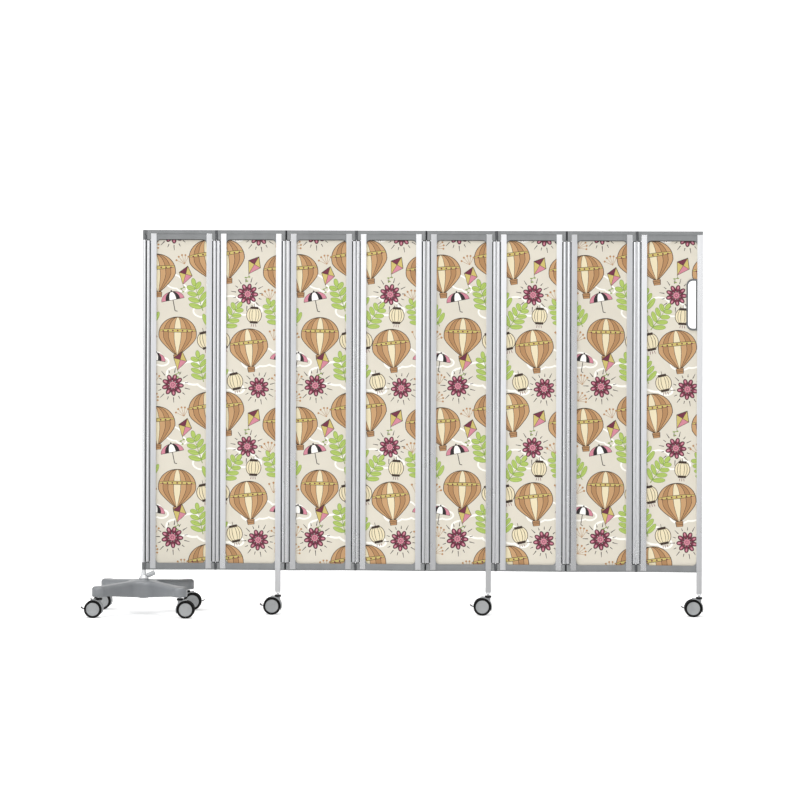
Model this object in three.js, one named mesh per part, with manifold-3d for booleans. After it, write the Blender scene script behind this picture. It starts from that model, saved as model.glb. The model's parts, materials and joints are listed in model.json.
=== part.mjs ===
// Ward privacy screen on wheels: eight hinged panels that fold like a concertina, carried at
// the left end by a post on a four-armed caster base and along its length by three caster legs.
// Millimetres, +Z up, +X along the screen, -Y towards the viewer. The screen stands slightly
// zigzagged, and the origin is on the floor under the middle of the whole screen.

import * as THREE from 'three';
import { mergeVertices } from 'three/addons/utils/BufferGeometryUtils.js';
import Module from 'manifold-3d';

const wasm = await Module();
wasm.setup();

// Whole screen
const screenHeight = 1650;
const floorClearance = 190;
const panelPitch = 300;
const panelCount = 8;
const restFoldDeg = 3;
const leggedPanels = [2, 5, 8];

// Clearances, and the flatness within which facets are merged
const seatGap = 0.3;
const cutOverrun = 4;
const facetTolerance = 0.001;

// Aluminium stiles: a box section beside a hollow round-fronted hinge column
const stileWidth = 24;
const stileDepth = 22;
const stileWall = 1.8;
const columnWidth = 15;
const columnGap = 0.6;
const columnSlot = 3.4;
const columnWebThickness = 8;
const sheetGrooveDepth = 6;

// Cross rail that ties the two stiles of a panel together at the bottom
const railHeight = 10;
const railDepth = 12;

// Printed infill sheet
const sheetThickness = 4;

// Plastic caps
const topStripHeight = 15;
const topBandHeight = 40;
const topBlockHeight = 42;
const bottomStripHeight = 5;
const bottomBandHeight = 29;
const bottomBlockHeight = 31;
const capBandDepth = 18;
const capCornerRadius = 17;
const capPlugLength = 12;
const endCornerRadius = 2;
const sheetSeatDepth = 20;

// Hinge knuckles moulded into the cap ends
const hingeFaceGap = 0.8;
const knuckleRadius = 5;
const hingePinRadius = 2.5;
const hingeLugWidth = 9;
const knuckleSplitShare = 0.5;

// Post at the left end
const postRadius = 5;
const postHeadHeight = 20;
const postHeadRadius = 8;
const collarRadius = 8;
const postEndAboveBossBottom = 6;

// Post foot with its clamp knob
const footFlangeRadius = 20;
const footFlangeHeight = 6;
const footNeckRadius = 12;
const footNeckHeight = 16;
const footTopRadius = 9;
const knobRadius = 9;
const knobLength = 30;
const knobReach = 52;
const knobEndChamfer = 2;
const knobShankRadius = 4;
const knobRise = 6;
const knobTiltDeg = 25;

// Four-armed base
const baseStemSpacing = 344;
const armEndRadius = 31;
const armHalfWidth = 28;
const armFlareLength = 70;
const baseUnderside = 90;
const armTop = 134;
const armEdgeRadius = 14;
const hubTop = 150;
const hubTopRadius = 24;
const hubFootRadius = 44;
const hubShoulder = 4;
const hubUnderside = 73.5;
const bossRadius = 22;
const bossBottom = 68;

// Legs under panels 2, 5 and 8
const legBottom = 99;
const legSpigotLength = 70;
const legTongueThickness = 2;
const legInsertRadius = 9;
const legInsertLength = 8;

// Twin-wheel swivel casters
const wheelRadius = 37.5;
const wheelWidth = 17;
const wheelInnerGap = 12;
const wheelEdgeRadius = 2.5;
const axleRadius = 5;
const casterTrail = 25;
const collarDiscRadius = 14;
const collarDiscBottom = 76;
const collarDiscTop = 85;
const stemRadius = 5.5;
const stemInsertion = 26;
const hoodGap = 1.8;
const hoodWall = 2.6;
const hoodStartDeg = -24;
const hoodEndDeg = 96;
const cheekThickness = 10;
const cheekRadius = 22;
const neckHalfLength = 10;

// Brake lever between the twin wheels
const leverPivotBack = 17;
const leverPivotRise = 4.5;
const leverHubRadius = 4.5;
const leverHubThickness = 5.4;
const leverPinRadius = 2;
const leverBladeThickness = 3.2;
const leverReach = 15;
const leverTipRise = 4;
const pedalWidth = 24;
const pedalLength = 10.5;
const leverSlotLength = 13;

// Handle cut-out in the last panel
const handleOpeningWidth = 33;
const handleOpeningHeight = 204;
const handleLeftBorder = 7.5;
const handleRightBorder = 5.5;
const handleEndBorder = 8.5;
const handleCornerRadius = 28;
const handleTopBelowScreenTop = 203;
const handleFlangeOverlap = 3;
const handleThickness = 13;

// Facets of round parts
const columnFacets = 2;
const knuckleFacets = 10;
const postFacets = 16;
const wheelFacets = 20;
const cornerFacets = 2;
const hoodFacets = 3;
const armFacets = 4;
const armEdgeFacets = 2;

const colours = {
  aluminium: { color: 0xd9dbdc, roughness: 0.35, metalness: 0.9 },
  capPlastic: { color: 0x8c9092, roughness: 0.5, metalness: 0 },
  infill: { color: 0xe6ddcc, roughness: 0.45, metalness: 0 },
  castGrey: { color: 0x9a9da0, roughness: 0.45, metalness: 0.1 },
  footGrey: { color: 0xc9cbcc, roughness: 0.4, metalness: 0.2 },
  steel: { color: 0xb9bcbf, roughness: 0.3, metalness: 1 },
  casterGrey: { color: 0x8f9395, roughness: 0.5, metalness: 0 },
  wheelBlack: { color: 0x26282a, roughness: 0.7, metalness: 0 },
  leverBlack: { color: 0x1b1c1e, roughness: 0.5, metalness: 0 },
  bezelGrey: { color: 0x85898c, roughness: 0.45, metalness: 0 },
};

// Solids

function toSolid(geometry) {
  const bare = geometry.clone();
  bare.deleteAttribute('normal');
  bare.deleteAttribute('uv');
  const merged = mergeVertices(bare);
  const vertProperties = new Float32Array(merged.getAttribute('position').array);
  const triVerts = new Uint32Array(merged.getIndex().array);
  return new wasm.Manifold(new wasm.Mesh({ numProp: 3, vertProperties, triVerts }));
}

function toGeometry(solid) {
  const result = solid.asOriginal().simplify(facetTolerance).getMesh();
  const geometry = new THREE.BufferGeometry();
  geometry.setAttribute('position', new THREE.BufferAttribute(result.vertProperties, 3));
  geometry.setIndex(new THREE.BufferAttribute(result.triVerts, 1));
  return geometry;
}

function join(...solids) {
  return solids.reduce((whole, piece) => whole.add(piece));
}

function blockBetween(low, high) {
  const size = high.map((value, axis) => value - low[axis]);
  const geometry = new THREE.BoxGeometry(...size);
  geometry.translate(...high.map((value, axis) => (value + low[axis]) / 2));
  return toSolid(geometry);
}

function uprightCylinder(radius, x, y, bottom, top, facets) {
  const geometry = new THREE.CylinderGeometry(radius, radius, top - bottom, facets);
  geometry.rotateX(Math.PI / 2);
  geometry.translate(x, y, (bottom + top) / 2);
  return toSolid(geometry);
}

function crossCylinder(radius, x, z, length, facets) {
  const geometry = new THREE.CylinderGeometry(radius, radius, length, facets);
  geometry.translate(x, 0, z);
  return toSolid(geometry);
}

// Extrudes a plan outline upwards.
function raise(shape, bottom, top, curveSegments = cornerFacets) {
  const options = { depth: top - bottom, bevelEnabled: false, curveSegments };
  const geometry = new THREE.ExtrudeGeometry(shape, options);
  geometry.translate(0, 0, bottom);
  return toSolid(geometry);
}

// Extrudes an outline drawn in X and Z across the thickness, which is centred on Y = 0.
function standUp(shape, thickness, curveSegments = cornerFacets) {
  const options = { depth: thickness, bevelEnabled: false, curveSegments };
  const geometry = new THREE.ExtrudeGeometry(shape, options);
  geometry.rotateX(Math.PI / 2);
  geometry.translate(0, thickness / 2, 0);
  return toSolid(geometry);
}

function turned(profile, facets) {
  const points = profile.map(([radius, height]) => new THREE.Vector2(radius, height));
  const geometry = new THREE.LatheGeometry(points, facets);
  geometry.rotateX(Math.PI / 2);
  return toSolid(geometry);
}

function makeMesh(name, solid, look) {
  const material = new THREE.MeshStandardMaterial(look);
  const mesh = new THREE.Mesh(toGeometry(solid), material);
  mesh.name = name;
  return mesh;
}

// Places along a panel: 0 is its left hinge plane and panelPitch its right one

const halfDepth = stileDepth / 2;
const columnRadius = columnWidth / 2;
const stileStart = columnGap + columnWidth + columnSlot;
const stileEnd = stileStart + stileWidth;
const infillRight = panelPitch - stileEnd;
const panelBottom = floorClearance;
const stileBottom = panelBottom + bottomStripHeight + seatGap;
const stileTop = screenHeight - topStripHeight - seatGap;
const columnBottom = panelBottom + bottomBlockHeight + seatGap;
const columnTop = screenHeight - topBlockHeight - seatGap;
const boreStart = stileStart + stileWall;
const boreEnd = stileEnd - sheetGrooveDepth - stileWall;
const boreHalfDepth = halfDepth - stileWall;
const grooveHalf = sheetThickness / 2 + seatGap;
const railBottom = stileBottom;
const railTop = railBottom + railHeight;
const hingeAxisOffset = halfDepth + hingeFaceGap;
const postOffset = columnGap + columnRadius;

// A box in panel places, turned round to the right-hand end when mirrored.
function panelBlock(mirrored, u0, u1, depth, bottom, top) {
  const low = mirrored ? panelPitch - u1 : u0;
  const high = mirrored ? panelPitch - u0 : u1;
  return blockBetween([low, -depth, bottom], [high, depth, top]);
}

function roundedBar(start, end, halfWidth, radius) {
  const shape = new THREE.Shape();
  shape.moveTo(start + radius, -halfWidth);
  shape.lineTo(end - radius, -halfWidth);
  shape.absarc(end - radius, radius - halfWidth, radius, -Math.PI / 2, 0);
  shape.absarc(end - radius, halfWidth - radius, radius, 0, Math.PI / 2);
  shape.absarc(start + radius, halfWidth - radius, radius, Math.PI / 2, Math.PI);
  shape.absarc(start + radius, radius - halfWidth, radius, Math.PI, Math.PI * 1.5);
  shape.closePath();
  return shape;
}

function flipAlong(solid) {
  return solid.mirror([1, 0, 0]).translate([panelPitch, 0, 0]);
}

// One left-hand stile: box section with the sheet groove, and its hinge column.
function buildStile(withColumn) {
  const box = panelBlock(false, stileStart, stileEnd, halfDepth, stileBottom, stileTop);
  const lowEnd = stileBottom - cutOverrun;
  const highEnd = stileTop + cutOverrun;
  const bore = panelBlock(false, boreStart, boreEnd, boreHalfDepth, lowEnd, highEnd);
  const grooveStart = stileEnd - sheetGrooveDepth;
  const grooveEnd = stileEnd + cutOverrun;
  const groove = panelBlock(false, grooveStart, grooveEnd, grooveHalf, railTop, highEnd);
  let stile = box.subtract(bore).subtract(groove);
  if (withColumn) {
    const columnEnd = columnGap + columnWidth;
    const outline = roundedBar(columnGap, columnEnd, halfDepth, columnRadius);
    const innerRadius = columnRadius - stileWall;
    const inner = roundedBar(columnGap + stileWall, columnEnd - stileWall, boreHalfDepth, innerRadius);
    const column = raise(outline, columnBottom, columnTop, columnFacets);
    const hollow = raise(inner, lowEnd, highEnd, 1);
    const webStart = columnEnd - stileWall / 2;
    const webEnd = stileStart + stileWall / 2;
    const webDepth = columnWebThickness / 2;
    const web = panelBlock(false, webStart, webEnd, webDepth, columnBottom, columnTop);
    stile = join(stile, column.subtract(hollow), web);
  }
  return stile;
}

function buildFrame(index) {
  const left = buildStile(true);
  const right = flipAlong(buildStile(index < panelCount));
  const railStart = stileEnd - stileWall;
  const railEnd = infillRight + stileWall;
  const rail = blockBetween([railStart, -railDepth / 2, railBottom], [railEnd, railDepth / 2, railTop]);
  return join(left, right, rail);
}

// The handle's outline: rounded on the left, straight along the stile on the right.
function handleOutline(left, right, bottom, top, radius) {
  const shape = new THREE.Shape();
  shape.moveTo(left + radius, bottom);
  shape.lineTo(right - endCornerRadius, bottom);
  shape.absarc(right - endCornerRadius, bottom + endCornerRadius, endCornerRadius, -Math.PI / 2, 0);
  shape.absarc(right - endCornerRadius, top - endCornerRadius, endCornerRadius, 0, Math.PI / 2);
  shape.absarc(left + radius, top - radius, radius, Math.PI / 2, Math.PI);
  shape.absarc(left + radius, bottom + radius, radius, Math.PI, Math.PI * 1.5);
  shape.closePath();
  return shape;
}

const handleRight = infillRight - seatGap;
const openingRight = handleRight - handleRightBorder;
const openingLeft = openingRight - handleOpeningWidth;
const handleLeft = openingLeft - handleLeftBorder;
const handleTop = screenHeight - handleTopBelowScreenTop;
const openingTop = handleTop - handleEndBorder;
const openingBottom = openingTop - handleOpeningHeight;
const handleBottom = openingBottom - handleEndBorder;

// The sleeve of the bezel that passes through the sheet, grown by a gap for the cut.
function handleSleeve(thickness, gap) {
  const inset = handleFlangeOverlap - gap;
  const radius = handleCornerRadius - inset;
  const [left, right] = [handleLeft + inset, handleRight - inset];
  const [bottom, top] = [handleBottom + inset, handleTop - inset];
  return standUp(handleOutline(left, right, bottom, top, radius), thickness);
}

function buildInfill(index) {
  const grooveSeat = sheetGrooveDepth - seatGap;
  const low = [stileEnd - grooveSeat, -sheetThickness / 2, railTop + seatGap];
  const high = [infillRight + grooveSeat, sheetThickness / 2, screenHeight - sheetSeatDepth];
  const sheet = blockBetween(low, high);
  if (index < panelCount) {
    return sheet;
  }
  return sheet.subtract(handleSleeve(sheetThickness + cutOverrun, seatGap));
}

function buildHandleBezel() {
  const flange = standUp(
    handleOutline(handleLeft, handleRight, handleBottom, handleTop, handleCornerRadius),
    handleThickness,
  );
  const slotDepth = grooveHalf;
  const outer = blockBetween(
    [handleLeft - cutOverrun, -slotDepth, handleBottom - cutOverrun],
    [handleRight + cutOverrun, slotDepth, handleTop + cutOverrun],
  );
  const recess = outer.subtract(handleSleeve(handleThickness, 0));
  const openingRadius = handleCornerRadius - handleLeftBorder;
  const opening = standUp(
    handleOutline(openingLeft, openingRight, openingBottom, openingTop, openingRadius),
    handleThickness + cutOverrun,
  );
  return flange.subtract(recess).subtract(opening);
}

// Caps

// Hinges are numbered like the panel on their left. Odd ones fold at the front face.
function hingeSide(hinge) {
  return hinge % 2 === 1 ? -1 : 1;
}

// The end block of a cap: round in plan at the hinge plane.
function endBlock(bottom, top) {
  const shape = new THREE.Shape();
  const radius = columnRadius;
  const inner = stileStart - seatGap;
  shape.moveTo(inner, -halfDepth);
  shape.lineTo(inner, halfDepth);
  shape.absarc(columnGap + radius, halfDepth - radius, radius, Math.PI / 2, Math.PI);
  shape.absarc(columnGap + radius, radius - halfDepth, radius, Math.PI, Math.PI * 1.5);
  shape.closePath();
  return raise(shape, bottom, top, columnFacets);
}

// Adds a knuckle to a cap's left end. A cap that carries the pin holds the lower half.
function addKnuckle(cap, side, carriesPin, bottom, top) {
  const split = bottom + (top - bottom) * knuckleSplitShare;
  const [ownBottom, ownTop] = carriesPin ? [bottom, split - seatGap / 2] : [split + seatGap / 2, top];
  const [farBottom, farTop] = carriesPin ? [split - seatGap / 2, top] : [bottom, split + seatGap / 2];
  const axis = side * hingeAxisOffset;
  const sweepBottom = carriesPin ? farBottom : farBottom - cutOverrun;
  const sweepTop = carriesPin ? farTop + cutOverrun : farTop;
  const sweepRadius = knuckleRadius + seatGap;
  const sweep = uprightCylinder(sweepRadius, 0, axis, sweepBottom, sweepTop, knuckleFacets);
  const barrel = uprightCylinder(knuckleRadius, 0, axis, ownBottom, ownTop, knuckleFacets);
  const lugOuter = side * halfDepth;
  const lugInner = side * (halfDepth - hingeLugWidth);
  const lug = blockBetween(
    [columnGap, Math.min(lugOuter, lugInner), ownBottom],
    [hingeLugWidth, Math.max(lugOuter, lugInner), ownTop],
  );
  const withBarrel = join(cap.subtract(sweep), barrel, lug);
  if (carriesPin) {
    const pinTop = top - knuckleRadius;
    const pin = uprightCylinder(hingePinRadius, 0, axis, ownTop - seatGap, pinTop, knuckleFacets);
    return withBarrel.add(pin);
  }
  const boreRadius = hingePinRadius + seatGap;
  const boreTop = top - knuckleRadius + seatGap;
  const bore = uprightCylinder(boreRadius, 0, axis, ownBottom - cutOverrun, boreTop, knuckleFacets);
  return withBarrel.subtract(bore);
}

// The collar of panel 1 that turns on the post.
function addCollar(cap, bottom, top) {
  const reach = blockBetween(
    [-postOffset, -columnRadius, bottom],
    [columnGap + columnRadius, columnRadius, top],
  );
  const ring = uprightCylinder(collarRadius, -postOffset, 0, bottom, top, postFacets);
  const boreRadius = postRadius + seatGap;
  const [boreBottom, boreTop] = [bottom - cutOverrun, top + cutOverrun];
  const bore = uprightCylinder(boreRadius, -postOffset, 0, boreBottom, boreTop, postFacets);
  return join(cap, reach, ring).subtract(bore);
}

// Adds both ends: a collar or a bored knuckle on the left, a pinned knuckle on the right.
function addCapEnds(cap, index, blockBottom, blockTop, collarTop) {
  let whole = cap;
  if (index === 1) {
    whole = addCollar(whole, blockBottom, collarTop);
  } else {
    whole = addKnuckle(whole, hingeSide(index - 1), false, blockBottom, blockTop);
  }
  if (index < panelCount) {
    whole = flipAlong(addKnuckle(flipAlong(whole), hingeSide(index), true, blockBottom, blockTop));
  }
  return whole;
}

function capStrip(index, bottom, top) {
  const middle = blockBetween(
    [stileStart - cutOverrun, -halfDepth, bottom],
    [panelPitch - stileStart + cutOverrun, halfDepth, top],
  );
  const left = endBlock(bottom, top);
  if (index < panelCount) {
    return join(middle, left, flipAlong(endBlock(bottom, top)));
  }
  const beyond = blockBetween(
    [panelPitch - stileStart, -stileDepth, bottom - cutOverrun],
    [panelPitch, stileDepth, top + cutOverrun],
  );
  return join(middle, left).subtract(beyond);
}

function capBlocks(index, bottom, top) {
  const left = endBlock(bottom, top);
  return index < panelCount ? left.add(flipAlong(endBlock(bottom, top))) : left;
}

// The visible band between the stiles, with rounded corners towards the infill.
// Direction is 1 where the corners reach up from the bottom cap, -1 down from the top one.
function capBand(outer, inner, direction) {
  const left = stileEnd + seatGap;
  const right = infillRight - seatGap;
  const tip = inner + direction * capCornerRadius;
  const radius = capCornerRadius - seatGap;
  const shape = new THREE.Shape();
  shape.moveTo(left, outer);
  shape.lineTo(left, tip);
  shape.quadraticCurveTo(left, inner, left + radius, inner);
  shape.lineTo(right - radius, inner);
  shape.quadraticCurveTo(right, inner, right, tip);
  shape.lineTo(right, outer);
  shape.closePath();
  return standUp(shape, capBandDepth).scale([1, 1, -1]);
}

function capPlugs(index, bottom, top) {
  const [start, end] = [boreStart + seatGap, boreEnd - seatGap];
  const depth = boreHalfDepth - seatGap;
  const left = panelBlock(false, start, end, depth, bottom, top);
  const right = panelBlock(true, start, end, depth, bottom, top);
  return { left, right };
}

function buildTopCap(index) {
  const top = screenHeight;
  const stripBottom = top - topStripHeight;
  const blockBottom = top - topBlockHeight;
  const bandBottom = top - topBandHeight;
  const strip = capStrip(index, stripBottom, top);
  const blocks = capBlocks(index, blockBottom, top);
  const band = capBand(-stripBottom - cutOverrun, -bandBottom, 1);
  const plugs = capPlugs(index, stripBottom - capPlugLength, stripBottom);
  const slot = blockBetween(
    [stileEnd - cutOverrun, -grooveHalf, bandBottom - capCornerRadius - cutOverrun],
    [infillRight + cutOverrun, grooveHalf, top - sheetSeatDepth + seatGap],
  );
  const body = join(strip, blocks, band, plugs.left, plugs.right).subtract(slot);
  return addCapEnds(body, index, blockBottom, top, top - postHeadHeight - seatGap);
}

function buildBottomCap(index) {
  const bottom = panelBottom;
  const stripTop = bottom + bottomStripHeight;
  const blockTop = bottom + bottomBlockHeight;
  const bandTop = bottom + bottomBandHeight;
  const strip = capStrip(index, bottom, stripTop);
  const blocks = capBlocks(index, bottom, blockTop);
  const band = capBand(-bottom, -bandTop, -1);
  const plugs = capPlugs(index, stripTop, stripTop + capPlugLength);
  const slotEnds = [stileEnd - cutOverrun, infillRight + cutOverrun];
  const slot = blockBetween(
    [slotEnds[0], -grooveHalf, railTop],
    [slotEnds[1], grooveHalf, bandTop + capCornerRadius + cutOverrun],
  );
  const railHalf = railDepth / 2 + seatGap;
  const channel = blockBetween(
    [stileEnd, -railHalf, bottom - cutOverrun],
    [infillRight, railHalf, railTop + seatGap],
  );
  let body = join(strip, blocks, band, plugs.left).subtract(slot).subtract(channel);
  if (leggedPanels.includes(index)) {
    body = body.subtract(legPassage(stripTop));
  } else {
    body = body.add(plugs.right);
  }
  return addCapEnds(body, index, bottom, blockTop, blockTop);
}

// Legs

const legLeft = panelPitch - stileEnd;
const legRight = panelPitch - stileStart;
const legCentre = (legLeft + legRight) / 2;

// Room that a leg takes in the strip of the bottom cap: tongues in front and behind, and
// the spigot between them.
function legPassage(stripTop) {
  const tongueInner = halfDepth - legTongueThickness - seatGap;
  const low = panelBottom - cutOverrun;
  const high = stripTop + cutOverrun;
  const [left, right] = [legLeft - seatGap, legRight + seatGap];
  const front = blockBetween([left, -stileDepth, low], [right, -tongueInner, high]);
  const back = blockBetween([left, tongueInner, low], [right, stileDepth, high]);
  const [start, end] = [panelPitch - boreEnd, panelPitch - boreStart];
  const hole = blockBetween([start, -spigotHalf - seatGap, low], [end, spigotHalf + seatGap, high]);
  return join(front, back, hole);
}

const spigotHalf = boreHalfDepth - legTongueThickness - stileWall;

function buildLeg() {
  const bodyTop = panelBottom - seatGap;
  const body = raise(
    roundedBar(legLeft, legRight, halfDepth, endCornerRadius),
    legBottom,
    bodyTop,
    1,
  );
  const tongueTop = stileBottom - seatGap;
  const tongueInner = halfDepth - legTongueThickness;
  const tongueLow = bodyTop - legTongueThickness;
  const [tongueLeft, tongueRight] = [legLeft + endCornerRadius, legRight - endCornerRadius];
  const front = blockBetween([tongueLeft, -halfDepth, tongueLow], [tongueRight, -tongueInner, tongueTop]);
  const back = blockBetween([tongueLeft, tongueInner, tongueLow], [tongueRight, halfDepth, tongueTop]);
  const spigotTop = stileBottom + legSpigotLength;
  const [start, end] = [panelPitch - boreEnd + seatGap, panelPitch - boreStart - seatGap];
  const spigot = blockBetween([start, -spigotHalf, tongueLow], [end, spigotHalf, spigotTop]);
  const insertBottom = legBottom - legInsertLength;
  const insertTop = legBottom + seatGap;
  const insert = uprightCylinder(legInsertRadius, legCentre, 0, insertBottom, insertTop, postFacets);
  const boreTop = legBottom + stemInsertion + seatGap;
  const boreRadius = stemRadius + seatGap;
  const boreBottom = insertBottom - cutOverrun;
  const bore = uprightCylinder(boreRadius, legCentre, 0, boreBottom, boreTop, knuckleFacets);
  return join(body, front, back, spigot, insert).subtract(bore);
}

// Base and post

// Plan outline of the four arms, with a flared inside corner between each pair.
function baseOutline() {
  const stemDistance = baseStemSpacing / Math.SQRT2;
  const cornerDistance = armHalfWidth * Math.SQRT2;
  const shape = new THREE.Shape();
  for (let arm = 0; arm < 4; arm += 1) {
    const angle = Math.PI / 4 + (arm * Math.PI) / 2;
    const along = new THREE.Vector2(Math.cos(angle), Math.sin(angle));
    const across = new THREE.Vector2(-along.y, along.x);
    const bisector = angle + Math.PI / 4;
    const corner = new THREE.Vector2(Math.cos(bisector), Math.sin(bisector));
    corner.multiplyScalar(cornerDistance);
    const flareStart = corner.clone().addScaledVector(along, armFlareLength);
    const flareEnd = corner.clone().addScaledVector(across, armFlareLength);
    const end = along.clone().multiplyScalar(stemDistance);
    shape.absarc(end.x, end.y, armEndRadius, angle - Math.PI / 2, angle + Math.PI / 2);
    shape.lineTo(flareStart.x, flareStart.y);
    shape.quadraticCurveTo(corner.x, corner.y, flareEnd.x, flareEnd.y);
  }
  shape.closePath();
  return shape;
}

function stemPlaces() {
  const half = baseStemSpacing / 2;
  return [
    { name: 'near_left', x: -half, y: -half, turn: 0, brake: true },
    { name: 'near_right', x: half, y: -half, turn: Math.PI, brake: false },
    { name: 'far_left', x: -half, y: half, turn: 0, brake: true },
    { name: 'far_right', x: half, y: half, turn: Math.PI, brake: true },
  ];
}

// The arms deepen towards the hub: their tops rise and their undersides fall evenly.
function deepenTowardsHub(arms) {
  const outer = baseStemSpacing / Math.SQRT2 - armEndRadius;
  const middle = (armTop + baseUnderside) / 2;
  const rise = hubTop - hubShoulder - armTop;
  const drop = baseUnderside - hubUnderside;
  return arms.warp((point) => {
    const distance = Math.hypot(point[0], point[1]);
    const share = THREE.MathUtils.clamp((outer - distance) / (outer - hubFootRadius), 0, 1);
    point[2] += point[2] > middle ? rise * share : -drop * share;
  });
}

function buildBase() {
  const geometry = new THREE.ExtrudeGeometry(baseOutline(), {
    depth: armTop - baseUnderside,
    bevelEnabled: true,
    bevelThickness: armEdgeRadius,
    bevelSize: armEdgeRadius,
    bevelOffset: -armEdgeRadius,
    bevelSegments: armEdgeFacets,
    curveSegments: armFacets,
  });
  geometry.translate(0, 0, baseUnderside - armEdgeRadius);
  const reach = baseStemSpacing + armEndRadius;
  const below = blockBetween([-reach, -reach, bossBottom - reach], [reach, reach, baseUnderside]);
  const arms = deepenTowardsHub(toSolid(geometry).subtract(below));
  const hub = turned(
    [
      [0, bossBottom],
      [bossRadius, bossBottom],
      [bossRadius, hubUnderside],
      [hubFootRadius, hubUnderside],
      [hubFootRadius, hubTop - hubShoulder],
      [hubTopRadius, hubTop],
      [0, hubTop],
    ],
    postFacets,
  );
  let base = arms.add(hub);
  const stemBore = stemRadius + seatGap;
  const boreBottom = baseUnderside - cutOverrun;
  const boreTop = baseUnderside + stemInsertion + seatGap;
  for (const place of stemPlaces()) {
    const bore = uprightCylinder(stemBore, place.x, place.y, boreBottom, boreTop, knuckleFacets);
    base = base.subtract(bore);
  }
  const postBore = postRadius + seatGap;
  const postBoreBottom = bossBottom + postEndAboveBossBottom - seatGap;
  const postHole = uprightCylinder(postBore, 0, 0, postBoreBottom, hubTop + cutOverrun, postFacets);
  return base.subtract(postHole);
}

function buildPostFoot() {
  const bottom = hubTop + seatGap;
  const top = panelBottom - seatGap;
  const flangeTop = bottom + footFlangeHeight;
  const foot = turned(
    [
      [0, bottom],
      [footFlangeRadius, bottom],
      [footFlangeRadius, flangeTop],
      [footNeckRadius, bottom + footNeckHeight],
      [footTopRadius, top],
      [0, top],
    ],
    postFacets,
  );
  const gripStart = knobReach - knobLength;
  const knob = turned(
    [
      [0, 0],
      [knobShankRadius, 0],
      [knobShankRadius, gripStart],
      [knobRadius, gripStart + knobEndChamfer],
      [knobRadius, knobReach - knobEndChamfer],
      [knobRadius - knobEndChamfer, knobReach],
      [0, knobReach],
    ],
    knuckleFacets,
  )
    .rotate([0, 90 - knobTiltDeg, 0])
    .translate([0, 0, bottom + knobRise]);
  const boreRadius = postRadius + seatGap;
  const [boreBottom, boreTop] = [bottom - cutOverrun, top + cutOverrun];
  const bore = uprightCylinder(boreRadius, 0, 0, boreBottom, boreTop, postFacets);
  return join(foot, knob).subtract(bore);
}

function buildPostRod() {
  const headBottom = screenHeight - postHeadHeight;
  const rodBottom = bossBottom + postEndAboveBossBottom;
  return turned(
    [
      [0, rodBottom],
      [postRadius, rodBottom],
      [postRadius, headBottom],
      [postHeadRadius, headBottom],
      [postHeadRadius, screenHeight],
      [0, screenHeight],
    ],
    postFacets,
  );
}

function buildPostSleeve() {
  const inner = postRadius + seatGap;
  return turned(
    [
      [inner, columnBottom],
      [columnRadius, columnBottom],
      [columnRadius, columnTop],
      [inner, columnTop],
      [inner, columnBottom],
    ],
    postFacets,
  );
}

// Casters: the swivel axis is at x = 0, and the wheels trail towards -X

const wheelInner = wheelInnerGap / 2;
const wheelOuter = wheelInner + wheelWidth;
const pivotX = -casterTrail - leverPivotBack;
const pivotZ = wheelRadius + leverPivotRise;

// Band of the hood in side view, concentric with the wheels.
function hoodOutline() {
  const inner = wheelRadius + hoodGap;
  const outer = inner + hoodWall;
  const start = THREE.MathUtils.degToRad(hoodStartDeg);
  const end = THREE.MathUtils.degToRad(hoodEndDeg);
  const shape = new THREE.Shape();
  shape.absarc(-casterTrail, -wheelRadius, outer, -end, -start);
  shape.absarc(-casterTrail, -wheelRadius, inner, -start, -end, true);
  shape.closePath();
  return shape;
}

// Sector that fills the hood between the wheels.
function hoodWebOutline() {
  const outer = wheelRadius + hoodGap + hoodWall / 2;
  const start = THREE.MathUtils.degToRad(hoodStartDeg);
  const end = THREE.MathUtils.degToRad(hoodEndDeg);
  const shape = new THREE.Shape();
  shape.moveTo(-casterTrail, -wheelRadius);
  shape.absarc(-casterTrail, -wheelRadius, outer, -end, -start);
  shape.closePath();
  return shape;
}

function buildCasterHousing(stemTop, hasBrake) {
  const hood = standUp(hoodOutline(), wheelOuter * 2, hoodFacets).scale([1, 1, -1]);
  const web = standUp(hoodWebOutline(), cheekThickness, hoodFacets).scale([1, 1, -1]);
  const cheek = crossCylinder(cheekRadius, -casterTrail, wheelRadius, cheekThickness, postFacets);
  const hoodMiddle = wheelRadius + hoodGap + hoodWall / 2;
  const underHood = crossCylinder(hoodMiddle, -casterTrail, wheelRadius, wheelOuter * 2, wheelFacets);
  const neck = blockBetween(
    [-neckHalfLength, -neckHalfLength, wheelRadius],
    [neckHalfLength, neckHalfLength, collarDiscBottom + seatGap],
  ).subtract(underHood);
  const disc = uprightCylinder(collarDiscRadius, 0, 0, collarDiscBottom, collarDiscTop, postFacets);
  const stem = uprightCylinder(stemRadius, 0, 0, collarDiscTop - seatGap, stemTop, knuckleFacets);
  const bore = crossCylinder(
    axleRadius + seatGap,
    -casterTrail,
    wheelRadius,
    wheelOuter * 2 + cutOverrun,
    knuckleFacets,
  );
  const housing = join(hood, web, cheek, neck, disc, stem).subtract(bore);
  return hasBrake ? housing.subtract(leverRoom()) : housing;
}

// Slot and pin bore for the brake lever in the back of the cheek.
function leverRoom() {
  const slotHalf = leverHubThickness / 2 + seatGap;
  const slotFront = pivotX + leverSlotLength / 2;
  const slotBack = pivotX - leverSlotLength;
  const slotBottom = pivotZ - leverSlotLength;
  const slotTop = pivotZ + leverSlotLength;
  const slot = blockBetween([slotBack, -slotHalf, slotBottom], [slotFront, slotHalf, slotTop]);
  const boreLength = cheekThickness + cutOverrun;
  return slot.add(crossCylinder(leverPinRadius + seatGap, pivotX, pivotZ, boreLength, knuckleFacets));
}

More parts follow.
